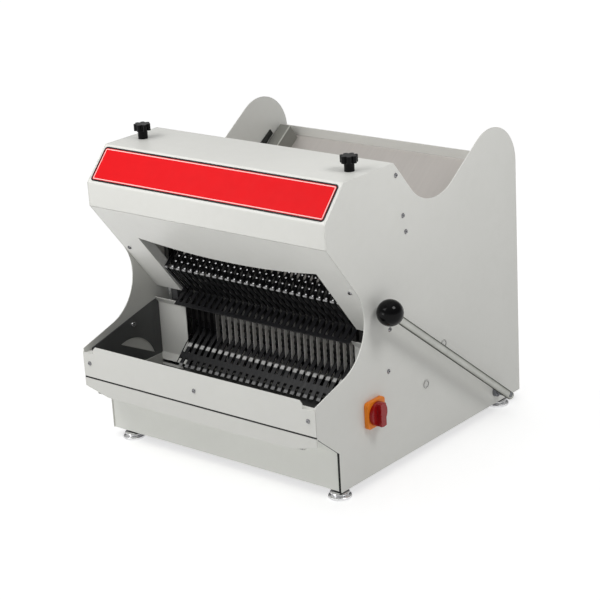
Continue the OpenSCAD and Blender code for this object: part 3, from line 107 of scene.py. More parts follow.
class Finish:
    """One procedural material: a principled shader with the node chains that feed it."""

    def __init__(self, name, metallic=0.0, coat=0.0, coat_roughness=0.1, specular=0.5):
        self.mat = bpy.data.materials.new(name)
        self.mat.use_nodes = True
        self.tree = self.mat.node_tree
        self.tree.nodes.clear()
        out = self.add("ShaderNodeOutputMaterial")
        self.bsdf = self.add("ShaderNodeBsdfPrincipled")
        self.link(self.bsdf.outputs[0], out.inputs[0])
        self.bsdf.inputs["Metallic"].default_value = metallic
        self.bsdf.inputs["Coat Weight"].default_value = coat
        self.bsdf.inputs["Coat Roughness"].default_value = coat_roughness
        self.bsdf.inputs["Specular IOR Level"].default_value = specular
        self.place = self.add("ShaderNodeTexCoord").outputs["Object"]
        self.split = None

    def add(self, kind):
        return self.tree.nodes.new(kind)

    def link(self, source, target):
        self.tree.links.new(source, target)

    def noise(self, scale, detail=2.0, stretch=(1, 1, 1), rough=0.5):
        mapping = self.add("ShaderNodeMapping")
        mapping.inputs["Scale"].default_value = stretch
        self.link(self.place, mapping.inputs["Vector"])
        node = self.add("ShaderNodeTexNoise")
        node.inputs["Scale"].default_value = scale
        node.inputs["Detail"].default_value = detail
        node.inputs["Roughness"].default_value = rough
        self.link(mapping.outputs[0], node.inputs["Vector"])
        return node.outputs["Fac"]

    def grain(self, stretch):
        """The fine long lines of rolled sheet, drawn out along the axes with a small stretch."""
        return self.noise(GRAIN_SCALE, 3.0, stretch, GRAIN_ROUGH)

    def ramp(self, source, stops):
        node = self.add("ShaderNodeValToRGB")
        fill_ramp(node, stops)
        self.link(source, node.inputs[0])
        return node.outputs[0]

    def tones(self, source, colour, darkest, palest, reach=DRIFT_REACH):
        """The colour, made darker and paler by a noise."""
        return self.ramp(source, ((0.5 - reach, tinted(colour, darkest)),
                                  (0.5 + reach, tinted(colour, palest))))

    def between(self, source, low, high, start=0.3, end=0.7):
        node = self.add("ShaderNodeMapRange")
        node.inputs["From Min"].default_value = start
        node.inputs["From Max"].default_value = end
        node.inputs["To Min"].default_value = low
        node.inputs["To Max"].default_value = high
        self.link(source, node.inputs["Value"])
        return node.outputs[0]

    def along(self, axis):
        """The place along one axis, in metres."""
        if self.split is None:
            self.split = self.add("ShaderNodeSeparateXYZ")
            self.link(self.place, self.split.inputs[0])
        return self.split.outputs[axis]

    def above(self, axis, start, end):
        """Nothing up to the start, one past the end, in mm along an axis."""
        return self.between(self.along(axis), 0.0, 1.0, start * MM, end * MM)

    def below(self, axis, start, end):
        """One up to the start, nothing past the end, in mm along an axis."""
        return self.between(self.along(axis), 1.0, 0.0, start * MM, end * MM)

    def near_line(self, y, z, reach):
        """One close to a line along X at (y, z) in mm, nothing past its reach."""
        flat = self.add("ShaderNodeVectorMath")
        flat.operation = "MULTIPLY"
        flat.inputs[1].default_value = (0, 1, 1)
        self.link(self.place, flat.inputs[0])
        off = self.add("ShaderNodeVectorMath")
        off.operation = "DISTANCE"
        off.inputs[1].default_value = (0, y * MM, z * MM)
        self.link(flat.outputs[0], off.inputs[0])
        return self.between(off.outputs["Value"], 1.0, 0.0, 0.6 * reach * MM, reach * MM)

    def times(self, one, two):
        node = self.add("ShaderNodeMath")
        node.operation = "MULTIPLY"
        self.link(one, node.inputs[0])
        feed(self.tree, node.inputs[1], two)
        return node.outputs[0]

    def mixed(self, factor, first, second, blend="MIX"):
        node = self.add("ShaderNodeMix")
        node.data_type = "RGBA"
        node.blend_type = blend
        self.link(factor, node.inputs[0])
        feed(self.tree, node.inputs[6], first)
        feed(self.tree, node.inputs[7], second)
        return node.outputs[2]

    def stained(self, tone, stain):
        """The tone with cloudy patches of a darker one."""
        return self.mixed(self.between(self.noise(9.0, 3.0), 0.0, 0.4), tone, stain)

    def rub_and_highlight(self, amount):
        """An amount that counts only on edges marked for rubbing and painted highlight."""
        node = self.add("ShaderNodeAttribute")
        node.attribute_name = RUB_AND_HIGHLIGHT
        return self.times(node.outputs["Fac"], amount)

    def done(self, colour, roughness, height, strength, depth):
        """The material, once its colour, roughness and relief (depth in mm) are fed."""
        self.link(colour, self.bsdf.inputs["Base Color"])
        self.link(roughness, self.bsdf.inputs["Roughness"])
        bump = self.add("ShaderNodeBump")
        bump.inputs["Strength"].default_value = strength
        bump.inputs["Distance"].default_value = depth * MM
        self.link(height, bump.inputs["Height"])
        self.link(bump.outputs[0], self.bsdf.inputs["Normal"])
        return self.mat


def paint(name, colour, roughness=0.38, edge=0.78):
    """Baked enamel: faint cloudiness, orange peel, and edges where the coat is thinner."""
    f = Finish(name, coat=0.08, coat_roughness=0.2, specular=0.4)
    cloud = f.tones(f.noise(4.5, 3.0), colour, 0.975, 1.015)
    film = f.ramp(f.noise(55.0, 3.0), ((0.3, (0.975, 0.975, 0.97, 1)), (0.6, grey(1))))
    body = f.mixed(f.between(f.noise(17.0), 0.2, 0.8), cloud, film, "MULTIPLY")
    thin = f.rub_and_highlight(f.between(f.noise(75.0, 3.0), 0.0, 0.5, 0.42, 0.62))
    return f.done(f.mixed(thin, body, tinted(colour, edge)),
                  f.between(f.noise(28.0, 3.0), roughness - 0.05, roughness + 0.07),
                  f.noise(620.0, 1.5), 0.04, 0.4)


def steel(name, colour, roughness, stretch, grain=0.12, metallic=1.0, rub_and_highlight_level=1.35):
    """Rolled or brushed sheet: long grain lines, cloudy sheen, and brighter edges: rubbing, on the
    rail a painted highlight.
    """
    f = Finish(name, metallic)
    lines = f.grain(stretch)
    tone = f.tones(lines, colour, 0.9, 1.07, GRAIN_REACH)
    bright = f.rub_and_highlight(f.between(f.noise(90.0, 2.0), 0.5, 1.0))
    return f.done(f.mixed(bright, f.stained(tone, tinted(colour, 0.86)), tinted(colour, rub_and_highlight_level)),
                  f.between(lines, roughness - 0.1, roughness + 0.1), lines, grain, GRAIN_DEPTH)


def comb(name, colour, bends, first):
    """Dark comb sheet whose fingers, from the first one on, carry a painted highlight where they
    bend, with some rubbing.
    """
    f = Finish(name, specular=0.25)
    fingers = f.above("X", first - 1.0, first)
    lines = f.grain((1, 0.05, 0.05))
    tone = f.tones(lines, colour, 0.8, 1.2, GRAIN_REACH)
    for y, z, reach, rub_and_painted_light in bends:
        # painted highlight along each bend, broken up like rubbing
        bend_rub_and_highlight = f.times(f.near_line(y, z, reach), f.between(f.noise(120.0, 2.0), 0.6, 1.0))
        tone = f.mixed(f.times(bend_rub_and_highlight, fingers), tone, rub_and_painted_light)
    return f.done(tone, f.between(lines, 0.28, 0.42), lines, 0.05, GRAIN_DEPTH)


def ramp_steel(name, colour, dark, low, high, pale, rim):
    """The chute's sheet: fine grain, painted shade over its lower end, and a paler tone along its
    rim as painted light.
    """
    f = Finish(name, metallic=0.35)
    lines = f.grain((1, 0.02, 0.02))
    tone = f.tones(lines, colour, 0.94, 1.05, GRAIN_REACH)
    # painted shade over the chute's lower end
    rub_and_painted_light = f.mixed(f.below("Y", low, high), f.stained(tone, tinted(colour, 0.9)), dark)
    # painted light: a paler tone on the folded rim
    return f.done(f.mixed(f.above("Z", rim - 1.0, rim + 1.0), rub_and_painted_light, pale),
                  f.between(lines, 0.4, 0.52), lines, 0.06, GRAIN_DEPTH)


def blade(name, colour, dark, low, high, shaded_to, lit_from):
    """Toothed strips: bright where they cut, with painted shade darkening their upper ends and the
    blades at the left.
    """
    f = Finish(name, metallic=0.05)
    lines = f.grain((1, 1, 0.03))
    tone = f.tones(lines, colour, 0.92, 1.04, GRAIN_REACH)
    # painted shade over the upper ends
    upper = f.mixed(f.above("Z", low, high), tone, dark)
    # painted shade over the blades at the left
    return f.done(f.mixed(f.below("X", shaded_to, lit_from), upper, dark),
                  f.between(lines, 0.32, 0.48), lines, 0.05, GRAIN_DEPTH)


def plating(name, colour, roughness=0.12, edge=None):
    """Chrome: mirror with fine rub marks, a faint haze and, if given, another glancing colour."""
    f = Finish(name, metallic=1.0)
    if edge:
        f.bsdf.inputs["Specular Tint"].default_value = edge
    rubs = f.noise(140.0, 3.0, (1, 1, 0.2))
    return f.done(f.tones(f.noise(35.0, 4.0), colour, 0.92, 1.03),
                  f.between(rubs, roughness - 0.05, roughness + 0.08),
                  f.noise(480.0, 2.0), 0.02, 0.2)


def plastic(name, colour, roughness, grain, grain_scale=700.0, specular=0.3, drift=0.06, edge=1.5):
    """Moulded plastic: tone drift, fine moulding texture, paler handled edges."""
    f = Finish(name, specular=specular)
    tone = f.tones(f.noise(40.0, 3.0), colour, 1 - drift, 1 + drift)
    handled = f.rub_and_highlight(f.between(f.noise(160.0, 2.0), 0.05, 0.4))
    rub_and_painted_light = tinted(tuple(c + 0.01 for c in colour[:3]), edge)
    return f.done(f.mixed(handled, tone, rub_and_painted_light),
                  f.between(f.noise(55.0, 3.0), roughness - 0.05, roughness + 0.08),
                  f.noise(grain_scale, 2.0), grain, 0.3)


def cap_plastic(name, colour, ring):
    """A press-in plug: skin in the panel's colour, with a dark line where it meets the sheet."""
    f = Finish(name, specular=0.3)
    tone = f.tones(f.noise(60.0, 3.0), colour, 0.95, 1.04)
    return f.done(f.mixed(f.rub_and_highlight(0.9), tone, ring), f.between(f.noise(90.0, 2.0), 0.4, 0.55),
                  f.noise(700.0, 2.0), 0.08, 0.3)


def casting(name, colour):
    """Grey casting: sand texture, darker pits."""
    f = Finish(name, metallic=0.35)
    return f.done(f.tones(f.noise(45.0, 4.0), colour, 0.7, 1.15),
                  f.between(f.noise(120.0, 3.0), 0.45, 0.75), f.noise(330.0, 4.0), 0.35, 0.8)


def rubber(name, colour):
    """Belt or strip rubber: matt, dusty, with lines along its run."""
    f = Finish(name, specular=0.3)
    return f.done(f.tones(f.noise(120.0, 3.0), colour, 0.7, 1.4),
                  f.between(f.noise(60.0, 3.0), 0.6, 0.85),
                  f.noise(500.0, 3.0, (1, 0.1, 0.1)), 0.2, 0.5)


# stretch of the grain: along X inside and on the pusher, across X on other sheet
INNER_GRAIN, PUSHER_GRAIN, SHEET_GRAIN = (0.03, 1, 1), (0.04, 1, 1), (1, 0.04, 0.04)
PRINT_GRAIN = 320.0             # texture scale of the printed panel
CHUTE_LOW_SHADE = (-10.0, 120.0)      # painted shade: the chute is dark up to the first Y and clear past the second
CHUTE_RIM = 485.5               # painted light: height from which the chute's folded rim takes a paler tone
BLADE_UPPER_SHADE = (227.0, 241.0)   # painted shade: heights between which the blades turn dark
BLADE_SHADE = (-182.0, -148.0)  # painted shade: blades are dark up to the first X and bright past the second
# where comb fingers bend, as (y, z, reach, colour of the painted highlight and rubbing there), and
# the first finger's x
UPPER_BENDS, UPPER_FIRST = ((-160.5, 334.0, 4.0, srgb(215, 215, 215)),), -300.0
LOWER_BENDS, LOWER_FIRST = ((-123.5, 162.0, 5.0, srgb(228, 228, 226)),
                            (-156.5, 130.0, 5.0, srgb(150, 150, 150))), -233.0

# one finish for each material slot
MATERIALS = {
    "body_paint": paint("body_paint", srgb(222, 222, 217)),
    "drawer_paint": paint("drawer_paint", srgb(213, 213, 208), 0.42),
    "chute_steel": ramp_steel("chute_steel", srgb(194, 189, 184), srgb(48, 47, 46), *CHUTE_LOW_SHADE,
                              srgb(246, 245, 240), CHUTE_RIM),
    "inner_steel": steel("inner_steel", srgb(120, 120, 122), 0.4, INNER_GRAIN),
    "comb_dark": comb("comb_upper", srgb(28, 28, 30), UPPER_BENDS, UPPER_FIRST),
    "cheek_dark": paint("cheek_dark", srgb(88, 89, 89), 0.45, 1.3),
    "rivet_steel": plating("rivet_steel", srgb(228, 228, 230), 0.16),
    "blade_steel": blade("blade_steel", srgb(244, 242, 238), srgb(40, 40, 41), *BLADE_UPPER_SHADE,
                         *BLADE_SHADE),
    "pusher_steel": steel("pusher_steel", srgb(112, 111, 109), 0.42, PUSHER_GRAIN, 0.06, 0.5,
                          1.3),
    "rod_chrome": plating("rod_chrome", srgb(222, 222, 225)),
    # painted reflection: the lever's grey tone and black glancing colour stand for the dark edges
    # and grey body its reflections show
    "lever_chrome": plating("lever_chrome", srgb(181, 182, 177), 0.14, srgb(8, 8, 8)),
    "foot_chrome": plating("foot_chrome", srgb(232, 232, 233), 0.2, srgb(150, 150, 152)),
    "cast_grey": casting("cast_grey", srgb(120, 122, 126)),
    "belt_rubber": rubber("belt_rubber", srgb(34, 34, 35)),
    "knob_black": plastic("knob_black", srgb(9, 9, 10), 0.1, 0.012, specular=0.12),
    "gland_black": plastic("gland_black", srgb(26, 26, 27), 0.5, 0.12),
    "label_red": plastic("label_red", srgb(222, 20, 27), 0.42, 0.012, PRINT_GRAIN, 0.06, 0.02, 1.0),
    "label_black": plastic("label_black", srgb(17, 17, 18), 0.42, 0.02, PRINT_GRAIN, 0.2, 0.04),
    "switch_orange": plastic("switch_orange", srgb(242, 136, 34), 0.34, 0.04, specular=0.25,
                             edge=0.9),
    "switch_red": plastic("switch_red", srgb(150, 14, 17), 0.24, 0.03, specular=0.35, edge=1.2),
    "plug_grey": cap_plastic("plug_grey", srgb(214, 214, 210), srgb(70, 70, 70)),
}
LINE_PALE = plastic("line_pale", srgb(244, 196, 192), 0.4, 0.01, PRINT_GRAIN, 0.2, 0.02)
SCREW_DARK = plating("screw_dark", srgb(150, 150, 152), 0.26, srgb(60, 60, 62))
TRAY_DARK = steel("tray_dark", srgb(74, 74, 73), 0.5, SHEET_GRAIN, 0.08, 0.3, 1.2)
# black strips that paint the shade in narrow gaps
GAP_SHADE_BLACK = rubber("gap_shade_black", srgb(18, 18, 18))
STRIP_GREY = rubber("strip_grey", srgb(50, 51, 49))
# nodes whose finish differs from the other nodes in their slot
NODE_FINISH = {
    "panel_screws": SCREW_DARK,
    "plate_screws": SCREW_DARK,
    "lower_comb": comb("comb_lower", srgb(24, 24, 26), LOWER_BENDS, LOWER_FIRST),
    # the rail's steel brightens its marked edges 2.2 times: a painted highlight on the bends of its
    # covers
    "chute_fins": steel("rail_steel", srgb(144, 144, 138), 0.45, SHEET_GRAIN, 0.06, 0.3, 2.2),
    # painted light and shade: the hood frame, lip plate and base front take the body paint in
    # lighter and darker tones
    "hood_frame": paint("frame_paint_lit", srgb(240, 240, 235)),
    "lip_plate": paint("lip_paint_shaded", srgb(216, 216, 211)),
    "base_front": paint("base_paint_lit", srgb(229, 230, 224)),
}


def finish_of(node):
    return NODE_FINISH.get(node, MATERIALS[SLOT_OF[node]])


# ---------------------------------------------------------------- pieces made from the CAD nodes

WELD = 2e-6                   # vertices closer than this, in metres, are one
FLAT = math.radians(0.6)      # faces that meet at less are one face
SHARP = math.radians(32)      # edges with more are rims
FOLD_LEAST, FOLD_MOST = math.radians(15), math.radians(85)
FOLD_LENGTH = 60 * MM
FOLD_SEGMENTS = 4
FINGER_AREA = 40 * MM * MM    # broad faces of a comb's fingers are larger
EVEN_WEIGHT = 80


def as_mesh(bm, name):
    mesh = bpy.data.meshes.new(name)
    bm.to_mesh(mesh)
    bm.free()
    mesh.polygons.foreach_set("use_smooth", [True] * len(mesh.polygons))
    mesh.set_sharp_from_angle(angle=SHARP)
    return mesh


def even_normals(obj):
    even = obj.modifiers.new("even", "WEIGHTED_NORMAL")
    even.keep_sharp = True
    even.weight = EVEN_WEIGHT


def shown(node, bm, *materials):
    """A piece that stands for a CAD node and rides on its body."""
    obj = added(node + "_piece", as_mesh(bm, node + "_shape"))
    for material in materials:
        obj.data.materials.append(material)
    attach(obj, BODY_OF[node])
    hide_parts(node)
    even_normals(obj)


def extra(name, bm, material):
    """A piece with no CAD node, fixed to the stand."""
    obj = added(name, as_mesh(bm, name + "_shape"))
    obj.data.materials.append(material)
    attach(obj, "stand")
    return obj


def clean_copy(node):
    """The node's mesh with its seams welded and its flat faces joined."""
    bm = bmesh.new()
    bm.from_mesh(NODES[node].data)
    bmesh.ops.remove_doubles(bm, verts=bm.verts, dist=WELD)
    bmesh.ops.dissolve_degenerate(bm, dist=WELD, edges=bm.edges)
    bmesh.ops.dissolve_limit(bm, angle_limit=FLAT, verts=bm.verts, edges=bm.edges)
    for layer in list(bm.loops.layers.uv.values()):
        bm.loops.layers.uv.remove(layer)
    return bm


def bevelled(bm, edges, width, segments):
    """Rounds edges by a width in mm, and gives the new faces."""
    return bmesh.ops.bevel(bm, geom=edges, offset=width * MM, segments=segments, profile=0.5,
                           affect="EDGES", clamp_overlap=True)["faces"]


def rims_of(bm):
    return [e for e in bm.edges if len(e.link_faces) == 2 and e.calc_face_angle(0) > SHARP]


def long_bends(bm):
    """Edges along which a sheet is folded."""
    return [e for e in bm.edges if len(e.link_faces) == 2 and e.calc_length() > FOLD_LENGTH
            and FOLD_LEAST < e.calc_face_angle(0) < FOLD_MOST]


def finger_bends(bm):
    """Edges across the fingers of a comb, between two of its broad faces."""
    broad = {f for f in bm.faces if abs(f.normal.x) < 0.1 and f.calc_area() > FINGER_AREA}
    return [e for e in bm.edges if len(e.link_faces) == 2 and set(e.link_faces) <= broad
            and e.calc_face_angle(0) > FOLD_LEAST]


def cover_corners(bm):
    """Long upper corners that face the chute, where a rail's cover is bent from its wall."""
    inward = {f for f in bm.faces if f.normal.x * f.calc_center_median().x < -0.1}
    return [e for e in bm.edges if e.is_convex and e.calc_length() > FOLD_LENGTH
            and e.calc_face_angle(0) > FOLD_MOST and inward.intersection(e.link_faces)
            and any(f.normal.z > 0.5 for f in e.link_faces)]


def rounded(node, width, segments=2, fold=0.0, bends=long_bends, rub_and_highlight_level=0.0):
    """The node with rounded rims, and larger radii along the folds of bent sheet."""
    bm = clean_copy(node)
    rub_and_highlight = bm.faces.layers.float.new(RUB_AND_HIGHLIGHT)
    folds = bends(bm) if fold else []
    if folds:
        for face in bevelled(bm, folds, fold, FOLD_SEGMENTS):
            face[rub_and_highlight] = rub_and_highlight_level
    for face in bevelled(bm, rims_of(bm), width, segments):
        face[rub_and_highlight] = rub_and_highlight_level if rub_and_highlight_level else 1.0
    shown(node, bm, finish_of(node))


def lined_panel(node, width, gap, line):
    """The red plate with a thin pale line let into its face, near the rim."""
    bm = clean_copy(node)
    rub_and_highlight = bm.faces.layers.float.new(RUB_AND_HIGHLIGHT)
    face = max((f for f in bm.faces if f.normal.z > 0.3), key=lambda f: f.calc_area())
    bmesh.ops.inset_region(bm, faces=[face], thickness=gap * MM, use_even_offset=True)
    ring = bmesh.ops.inset_region(bm, faces=[face], thickness=line * MM, use_even_offset=True)
    for part in ring["faces"]:
        part.material_index = 1
    for rim in bevelled(bm, rims_of(bm), width, 2):
        rim[rub_and_highlight] = 1.0
    shown(node, bm, finish_of(node), LINE_PALE)


def turned(profile, centre, axis, steps):
    """A turned piece: profile of (along, radius) in mm about an axis."""
    bm = bmesh.new()
    bm.faces.layers.float.new(RUB_AND_HIGHLIGHT)
    axis = Vector(axis).normalized()
    side = axis.orthogonal().normalized()
    other = axis.cross(side)
    rings = []
    for along, radius in profile:
        base = Vector(centre) + axis * along * MM
        if radius <= 0:
            rings.append([bm.verts.new(base)])
            continue
        rings.append([bm.verts.new(base + radius * MM * (math.cos(t) * side + math.sin(t) * other))
                      for t in (2 * math.pi * i / steps for i in range(steps))])
    for low, high in zip(rings, rings[1:]):
        for i in range(steps):
            j = (i + 1) % steps
            corners = (low[i % len(low)], low[j % len(low)],
                       high[j % len(high)], high[i % len(high)])
            bm.faces.new(list(dict.fromkeys(corners)))
    bmesh.ops.recalc_face_normals(bm, faces=bm.faces)
    return bm


# radius of the rims in mm and their segments, then where there are folds: their radius, the
# function that finds them, and how strongly they are marked for rubbing and painted highlight
ROUNDED = {
    "side_panel_left": (0.5,), "side_panel_right": (0.5,),
    "hood_cover": (0.35, 2, 2.0), "hood_frame": (0.35, 2, 1.6),
    "label_border": (0.2,),
    "knob_left": (0.9, 3), "knob_right": (0.9, 3),
    "lip_plate": (0.35,), "lip_beam": (0.35,), "crumb_drawer": (0.25,),
    "drawer_runners": (0.25, 1), "base_front": (0.35, 2, 1.6), "base_plate": (0.3, 1),
    "rear_cover": (0.3,), "chute_ramp": (0.35, 2, 1.6),
    # the rail's cover bends are marked in full for that painted highlight
    "chute_fins": (0.3, 2, 1.9, cover_corners, 1.0),
    "chute_guard": (0.3, 2, 1.6),
    "upper_comb": (0.2, 1, 1.6, finger_bends), "lower_comb": (0.2, 1, 1.6, finger_bends),
    "window_plates": (0.35, 2, 1.2), "trough_cheeks": (0.3,), "cheek_bolts": (0.4,),
    "pusher_plate": (0.3,), "pusher_arms": (0.5,), "lever_tube": (0.4,),
    "switch_plate": (1.0, 3), "switch_knob": (0.9, 3),
    "hole_plugs": (1.2, 3), "cable_inlet": (0.5,),
}
for node, how in ROUNDED.items():
    rounded(node, *how)
lined_panel("label_panel", width=0.15, gap=1.2, line=1.8)

# the drawer's floor takes the dark steel finish, its front and walls are painted
TRAY_FLOOR = 12 * MM  # the floor lies below this height over the drawer's lowest point
tray = bpy.data.objects["crumb_drawer_piece"].data
tray.materials.append(TRAY_DARK)
floor_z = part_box("crumb_drawer")[0][2] + TRAY_FLOOR
for face in tray.polygons:
    if face.normal.z > 0.9 and face.center.z < floor_z:
        face.material_index = 1


# ---------------------------------------------------------------- strips, feet and cover screws

STRIP_EDGE = 0.25


def strip(name, corners, span, material):
    """A strip: an outline of (y, z) run along X, with softened edges, in mm."""
    bm = bmesh.new()
    bm.faces.layers.float.new(RUB_AND_HIGHLIGHT)
    ends = [[bm.verts.new((x * MM, y * MM, z * MM)) for y, z in corners] for x in span]
    bm.faces.new(ends[0])
    bm.faces.new(reversed(ends[1]))
    for i in range(len(corners)):
        j = (i + 1) % len(corners)
        bm.faces.new((ends[0][i], ends[1][i], ends[1][j], ends[0][j]))
    bmesh.ops.recalc_face_normals(bm, faces=bm.faces)
    bevelled(bm, list(bm.edges), STRIP_EDGE, 2)
    even_normals(extra(name, bm, material))


# painted shade: black strips for the dark gaps under the trough's front plate, and where the base
# front meets the right panel
LIP_GAP_SHADE = [(-331.3, 145.3), (-330.1, 145.3), (-330.1, 148.4), (-331.3, 148.4)]
BASE_GAP_SHADE = [(-267.7, 16.4), (-267.7, 93.07), (-319.9, 136.9), (-319.25, 137.65),
               (-265.98, 92.96), (-265.98, 16.4)]
strip("lip_gap_shade", LIP_GAP_SHADE, (-316.0, 263.4), GAP_SHADE_BLACK)
strip("base_gap_shade", BASE_GAP_SHADE, (256.4, 261.5), GAP_SHADE_BLACK)

# dark grey strips on the ears, beside the covers of the chute's rails
EAR_STRIP = [(261.8, 506.4), (269.1, 496.3), (194.1, 441.9), (183.8, 456.1)]
strip("ear_strip_left", EAR_STRIP, (-314.3, -311.8), STRIP_GREY)
strip("ear_strip_right", EAR_STRIP, (259.2, 261.7), STRIP_GREY)

# dark fillers on the side panels, between the trough's cheeks and the window plates
FILLER = [(-133.7, 126.5), (-118.3, 126.5), (-115.4, 129.4), (-115.4, 235.4), (-122.7, 244.8),
          (-133.7, 242.8)]
strip("filler_left", FILLER, (-314.0, -312.5), MATERIALS["cheek_dark"])
strip("filler_right", FILLER, (259.9, 261.4), MATERIALS["cheek_dark"])

# screw feet: two turned tiers on a threaded stud, as (height, radius)
FOOT_NECK = 15.2                   # height where the thread starts
FOOT_TIERS = [(0, 0), (0, 18.5), (0.7, 20.6), (2, 21.7), (3.6, 22), (5.2, 21.6), (6.3, 20.4),
              (6.9, 18.4), (7.3, 16.6), (7.9, 16.4), (8.5, 17.4), (9.6, 18.2), (11, 18.4),
              (12.3, 17.8), (13.2, 16.2), (13.6, 13), (13.8, 9), (14.2, 6.4), (FOOT_NECK, 5.2)]
FOOT_PLAIN = 17                    # height without thread: tiers, neck and tip
THREAD_PITCH = 1.25
THREAD = ((0.3, 4.9), (0.9, 4.3))  # crest and root of each turn
FOOT_STEPS = 48
for node in ("foot_front_left", "foot_front_right", "foot_rear_left", "foot_rear_right"):
    low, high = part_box(node)
    middle = ((low[0] + high[0]) / 2, (low[1] + high[1]) / 2, low[2])
    top = (high[2] - low[2]) / MM
    turns = int(int(top - FOOT_PLAIN) / THREAD_PITCH)
    stud = [(FOOT_NECK + THREAD_PITCH * turn + step, radius)
            for turn in range(turns) for step, radius in THREAD]
    tip = [(top - 0.6, 4.7), (top, 4.1), (top, 0)]
    bm = turned(FOOT_TIERS + stud + tip, middle, (0, 0, 1), FOOT_STEPS)
    shown(node, bm, finish_of(node))

# pan-head screws with a recess, seated on the back cover
SCREW_HEAD = [(0, 0), (0, 4.4), (0.5, 4.6), (1.1, 4.4), (1.7, 3.6), (2.1, 2.4), (2.2, 1.4),
              (1.3, 1.2), (1.3, 0)]
SCREW_STEPS = 32
SCREW_ROWS = (40.0, 245.0, 455.0)
SCREW_COLUMNS = (("left", -300.0), ("right", 247.4))
cover_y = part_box("rear_cover")[1][1]
for row, z in enumerate(SCREW_ROWS, 1):
    for side, x in SCREW_COLUMNS:
        bm = turned(SCREW_HEAD, (x * MM, cover_y, z * MM), (0, 1, 0), SCREW_STEPS)
        extra("cover_screw_%s_%d" % (side, row), bm, SCREW_DARK)

for node, obj in NODES.items():
    obj.data.materials.clear()
    obj.data.materials.append(finish_of(node))


# ---------------------------------------------------------------- camera, light and floor

# the camera fitted to the photograph: place in metres, angles in degrees, the rest in pixels
CAMERA_EYE = Vector((2.23785, -2.68582, 1.47531))
AZIMUTH, ELEVATION, ROLL = (math.radians(v) for v in (40.4766, 19.7589, -3.4295))
PHOTO_SIZE = 600
FOCAL = 1890.0456
CENTRE_X, CENTRE_Y = 294.3658, 320.2085
SENSOR = 36.0
# the dome: brightness by the height of the direction, and strength at the left and the right
DOME = ((0.0, 0.85), (0.1, 0.85), (0.22, 0.3), (0.7, 0.45), (1.0, 0.8))
DOME_SIDES = (1.4, 0.5)
# the floor: half its width in metres, then grey and own light as seen, and for other rays
FLOOR_REACH = 20.0
FLOOR_SEEN, FLOOR_UNSEEN = (0.9, 0.6), (0.7, 0.3)
# soft lamps: place, aim, width and height in metres, then watts
SOFTBOXES = {
    "front_box": ((-0.4, -0.95, 1.3), (-0.05, -0.25, 0.45), (1.1, 0.5), 7.2),
    "low_box": ((-0.55, -1.9, 0.42), (0.0, -0.1, 0.3), (0.7, 0.45), 3.8),
    "side_box": ((1.05, -0.1, 1.35), (0.2, 0.0, 0.4), (0.45, 0.4), 6.0),
}
UNLIT = bpy.data.collections.new("unlit")  # what the softboxes leave out


def make_camera():
    data = bpy.data.cameras.new("camera")
    data.sensor_width = SENSOR
    data.lens = FOCAL / PHOTO_SIZE * SENSOR
    data.shift_x = (PHOTO_SIZE / 2 - CENTRE_X) / PHOTO_SIZE
    data.shift_y = (CENTRE_Y - PHOTO_SIZE / 2) / PHOTO_SIZE
    data.clip_end = 100
    cam = added("camera", data)
    back = Vector((math.sin(AZIMUTH) * math.cos(ELEVATION),
                   -math.cos(AZIMUTH) * math.cos(ELEVATION), math.sin(ELEVATION)))
    right = Vector((math.cos(AZIMUTH), math.sin(AZIMUTH), 0))
    up = back.cross(right)
    c, s = math.cos(ROLL), math.sin(ROLL)
    rolled = Matrix((c * right + s * up, -s * right + c * up, back)).transposed()
    cam.matrix_world = Matrix.Translation(CAMERA_EYE) @ rolled.to_4x4()
    bpy.context.scene.camera = cam


def make_softbox(name, place, aim, size, power):
    """A soft rectangular lamp that lights the object and leaves the floor to the dome."""
    data = bpy.data.lights.new(name, "AREA")
    data.shape = "RECTANGLE"
    data.size, data.size_y = size
    data.energy = power
    lamp = added(name, data)
    lamp.location = place
    lamp.rotation_euler = (Vector(place) - Vector(aim)).to_track_quat("Z", "Y").to_euler()
    lamp.visible_camera = False
    lamp.light_linking.receiver_collection = UNLIT


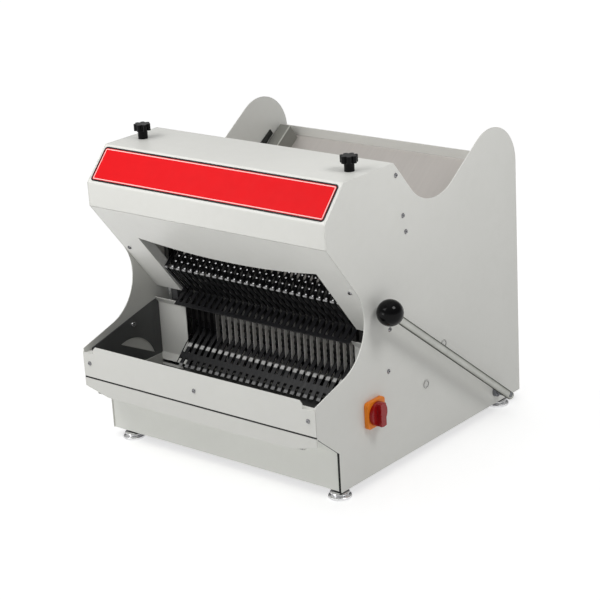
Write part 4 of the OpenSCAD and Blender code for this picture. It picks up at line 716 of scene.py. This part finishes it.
def make_world(stops, sides):
    """A dome whose strength follows the height of the direction, and leans to one side."""
    world = bpy.data.worlds.new("studio")
    bpy.context.scene.world = world
    world.use_nodes = True
    tree = world.node_tree
    tree.nodes.clear()
    out = tree.nodes.new("ShaderNodeOutputWorld")
    dome = tree.nodes.new("ShaderNodeBackground")
    place = tree.nodes.new("ShaderNodeTexCoord")
    split = tree.nodes.new("ShaderNodeSeparateXYZ")
    ramp = tree.nodes.new("ShaderNodeValToRGB")
    fill_ramp(ramp, [(height, grey(value)) for height, value in stops])
    lean = tree.nodes.new("ShaderNodeMapRange")
    lean.inputs["From Min"].default_value = -1.0
    lean.inputs["To Min"].default_value, lean.inputs["To Max"].default_value = sides
    tree.links.new(place.outputs["Generated"], split.inputs[0])
    tree.links.new(split.outputs["Z"], ramp.inputs[0])
    tree.links.new(ramp.outputs[0], dome.inputs["Color"])
    tree.links.new(split.outputs["X"], lean.inputs["Value"])
    tree.links.new(lean.outputs[0], dome.inputs["Strength"])
    tree.links.new(dome.outputs[0], out.inputs[0])


def any_seen(tree):
    """One for camera, glossy and transmission rays."""
    path = tree.nodes.new("ShaderNodeLightPath")
    total = path.outputs["Is Camera Ray"]
    for kind in ("Is Glossy Ray", "Is Transmission Ray"):
        node = tree.nodes.new("ShaderNodeMath")
        node.operation = "MAXIMUM"
        tree.links.new(total, node.inputs[0])
        tree.links.new(path.outputs[kind], node.inputs[1])
        total = node.outputs[0]
    return total


def lit(tree, tone, glow):
    """A matt surface with a little light of its own."""
    matt = tree.nodes.new("ShaderNodeBsdfDiffuse")
    matt.inputs["Color"].default_value = grey(tone)
    own = tree.nodes.new("ShaderNodeEmission")
    own.inputs["Strength"].default_value = glow
    both = tree.nodes.new("ShaderNodeAddShader")
    tree.links.new(matt.outputs[0], both.inputs[0])
    tree.links.new(own.outputs[0], both.inputs[1])
    return both.outputs[0]


def make_floor(reach, seen, unseen):
    """A white floor that the softboxes leave out, dimmer for the light it throws back."""
    bm = bmesh.new()
    bmesh.ops.create_grid(bm, x_segments=1, y_segments=1, size=reach)
    mesh = bpy.data.meshes.new("floor")
    bm.to_mesh(mesh)
    bm.free()
    floor = added("floor", mesh)
    UNLIT.objects.link(floor)
    UNLIT.collection_objects[0].light_linking.link_state = "EXCLUDE"
    mat = bpy.data.materials.new("floor")
    mat.use_nodes = True
    tree = mat.node_tree
    tree.nodes.clear()
    out = tree.nodes.new("ShaderNodeOutputMaterial")
    mix = tree.nodes.new("ShaderNodeMixShader")
    tree.links.new(any_seen(tree), mix.inputs[0])
    tree.links.new(lit(tree, *unseen), mix.inputs[1])
    tree.links.new(lit(tree, *seen), mix.inputs[2])
    tree.links.new(mix.outputs[0], out.inputs[0])
    mesh.materials.append(mat)


make_camera()
make_world(DOME, DOME_SIDES)
make_floor(FLOOR_REACH, FLOOR_SEEN, FLOOR_UNSEEN)
for name, how in SOFTBOXES.items():
    make_softbox(name, *how)
bpy.context.scene.view_settings.view_transform = "Standard"
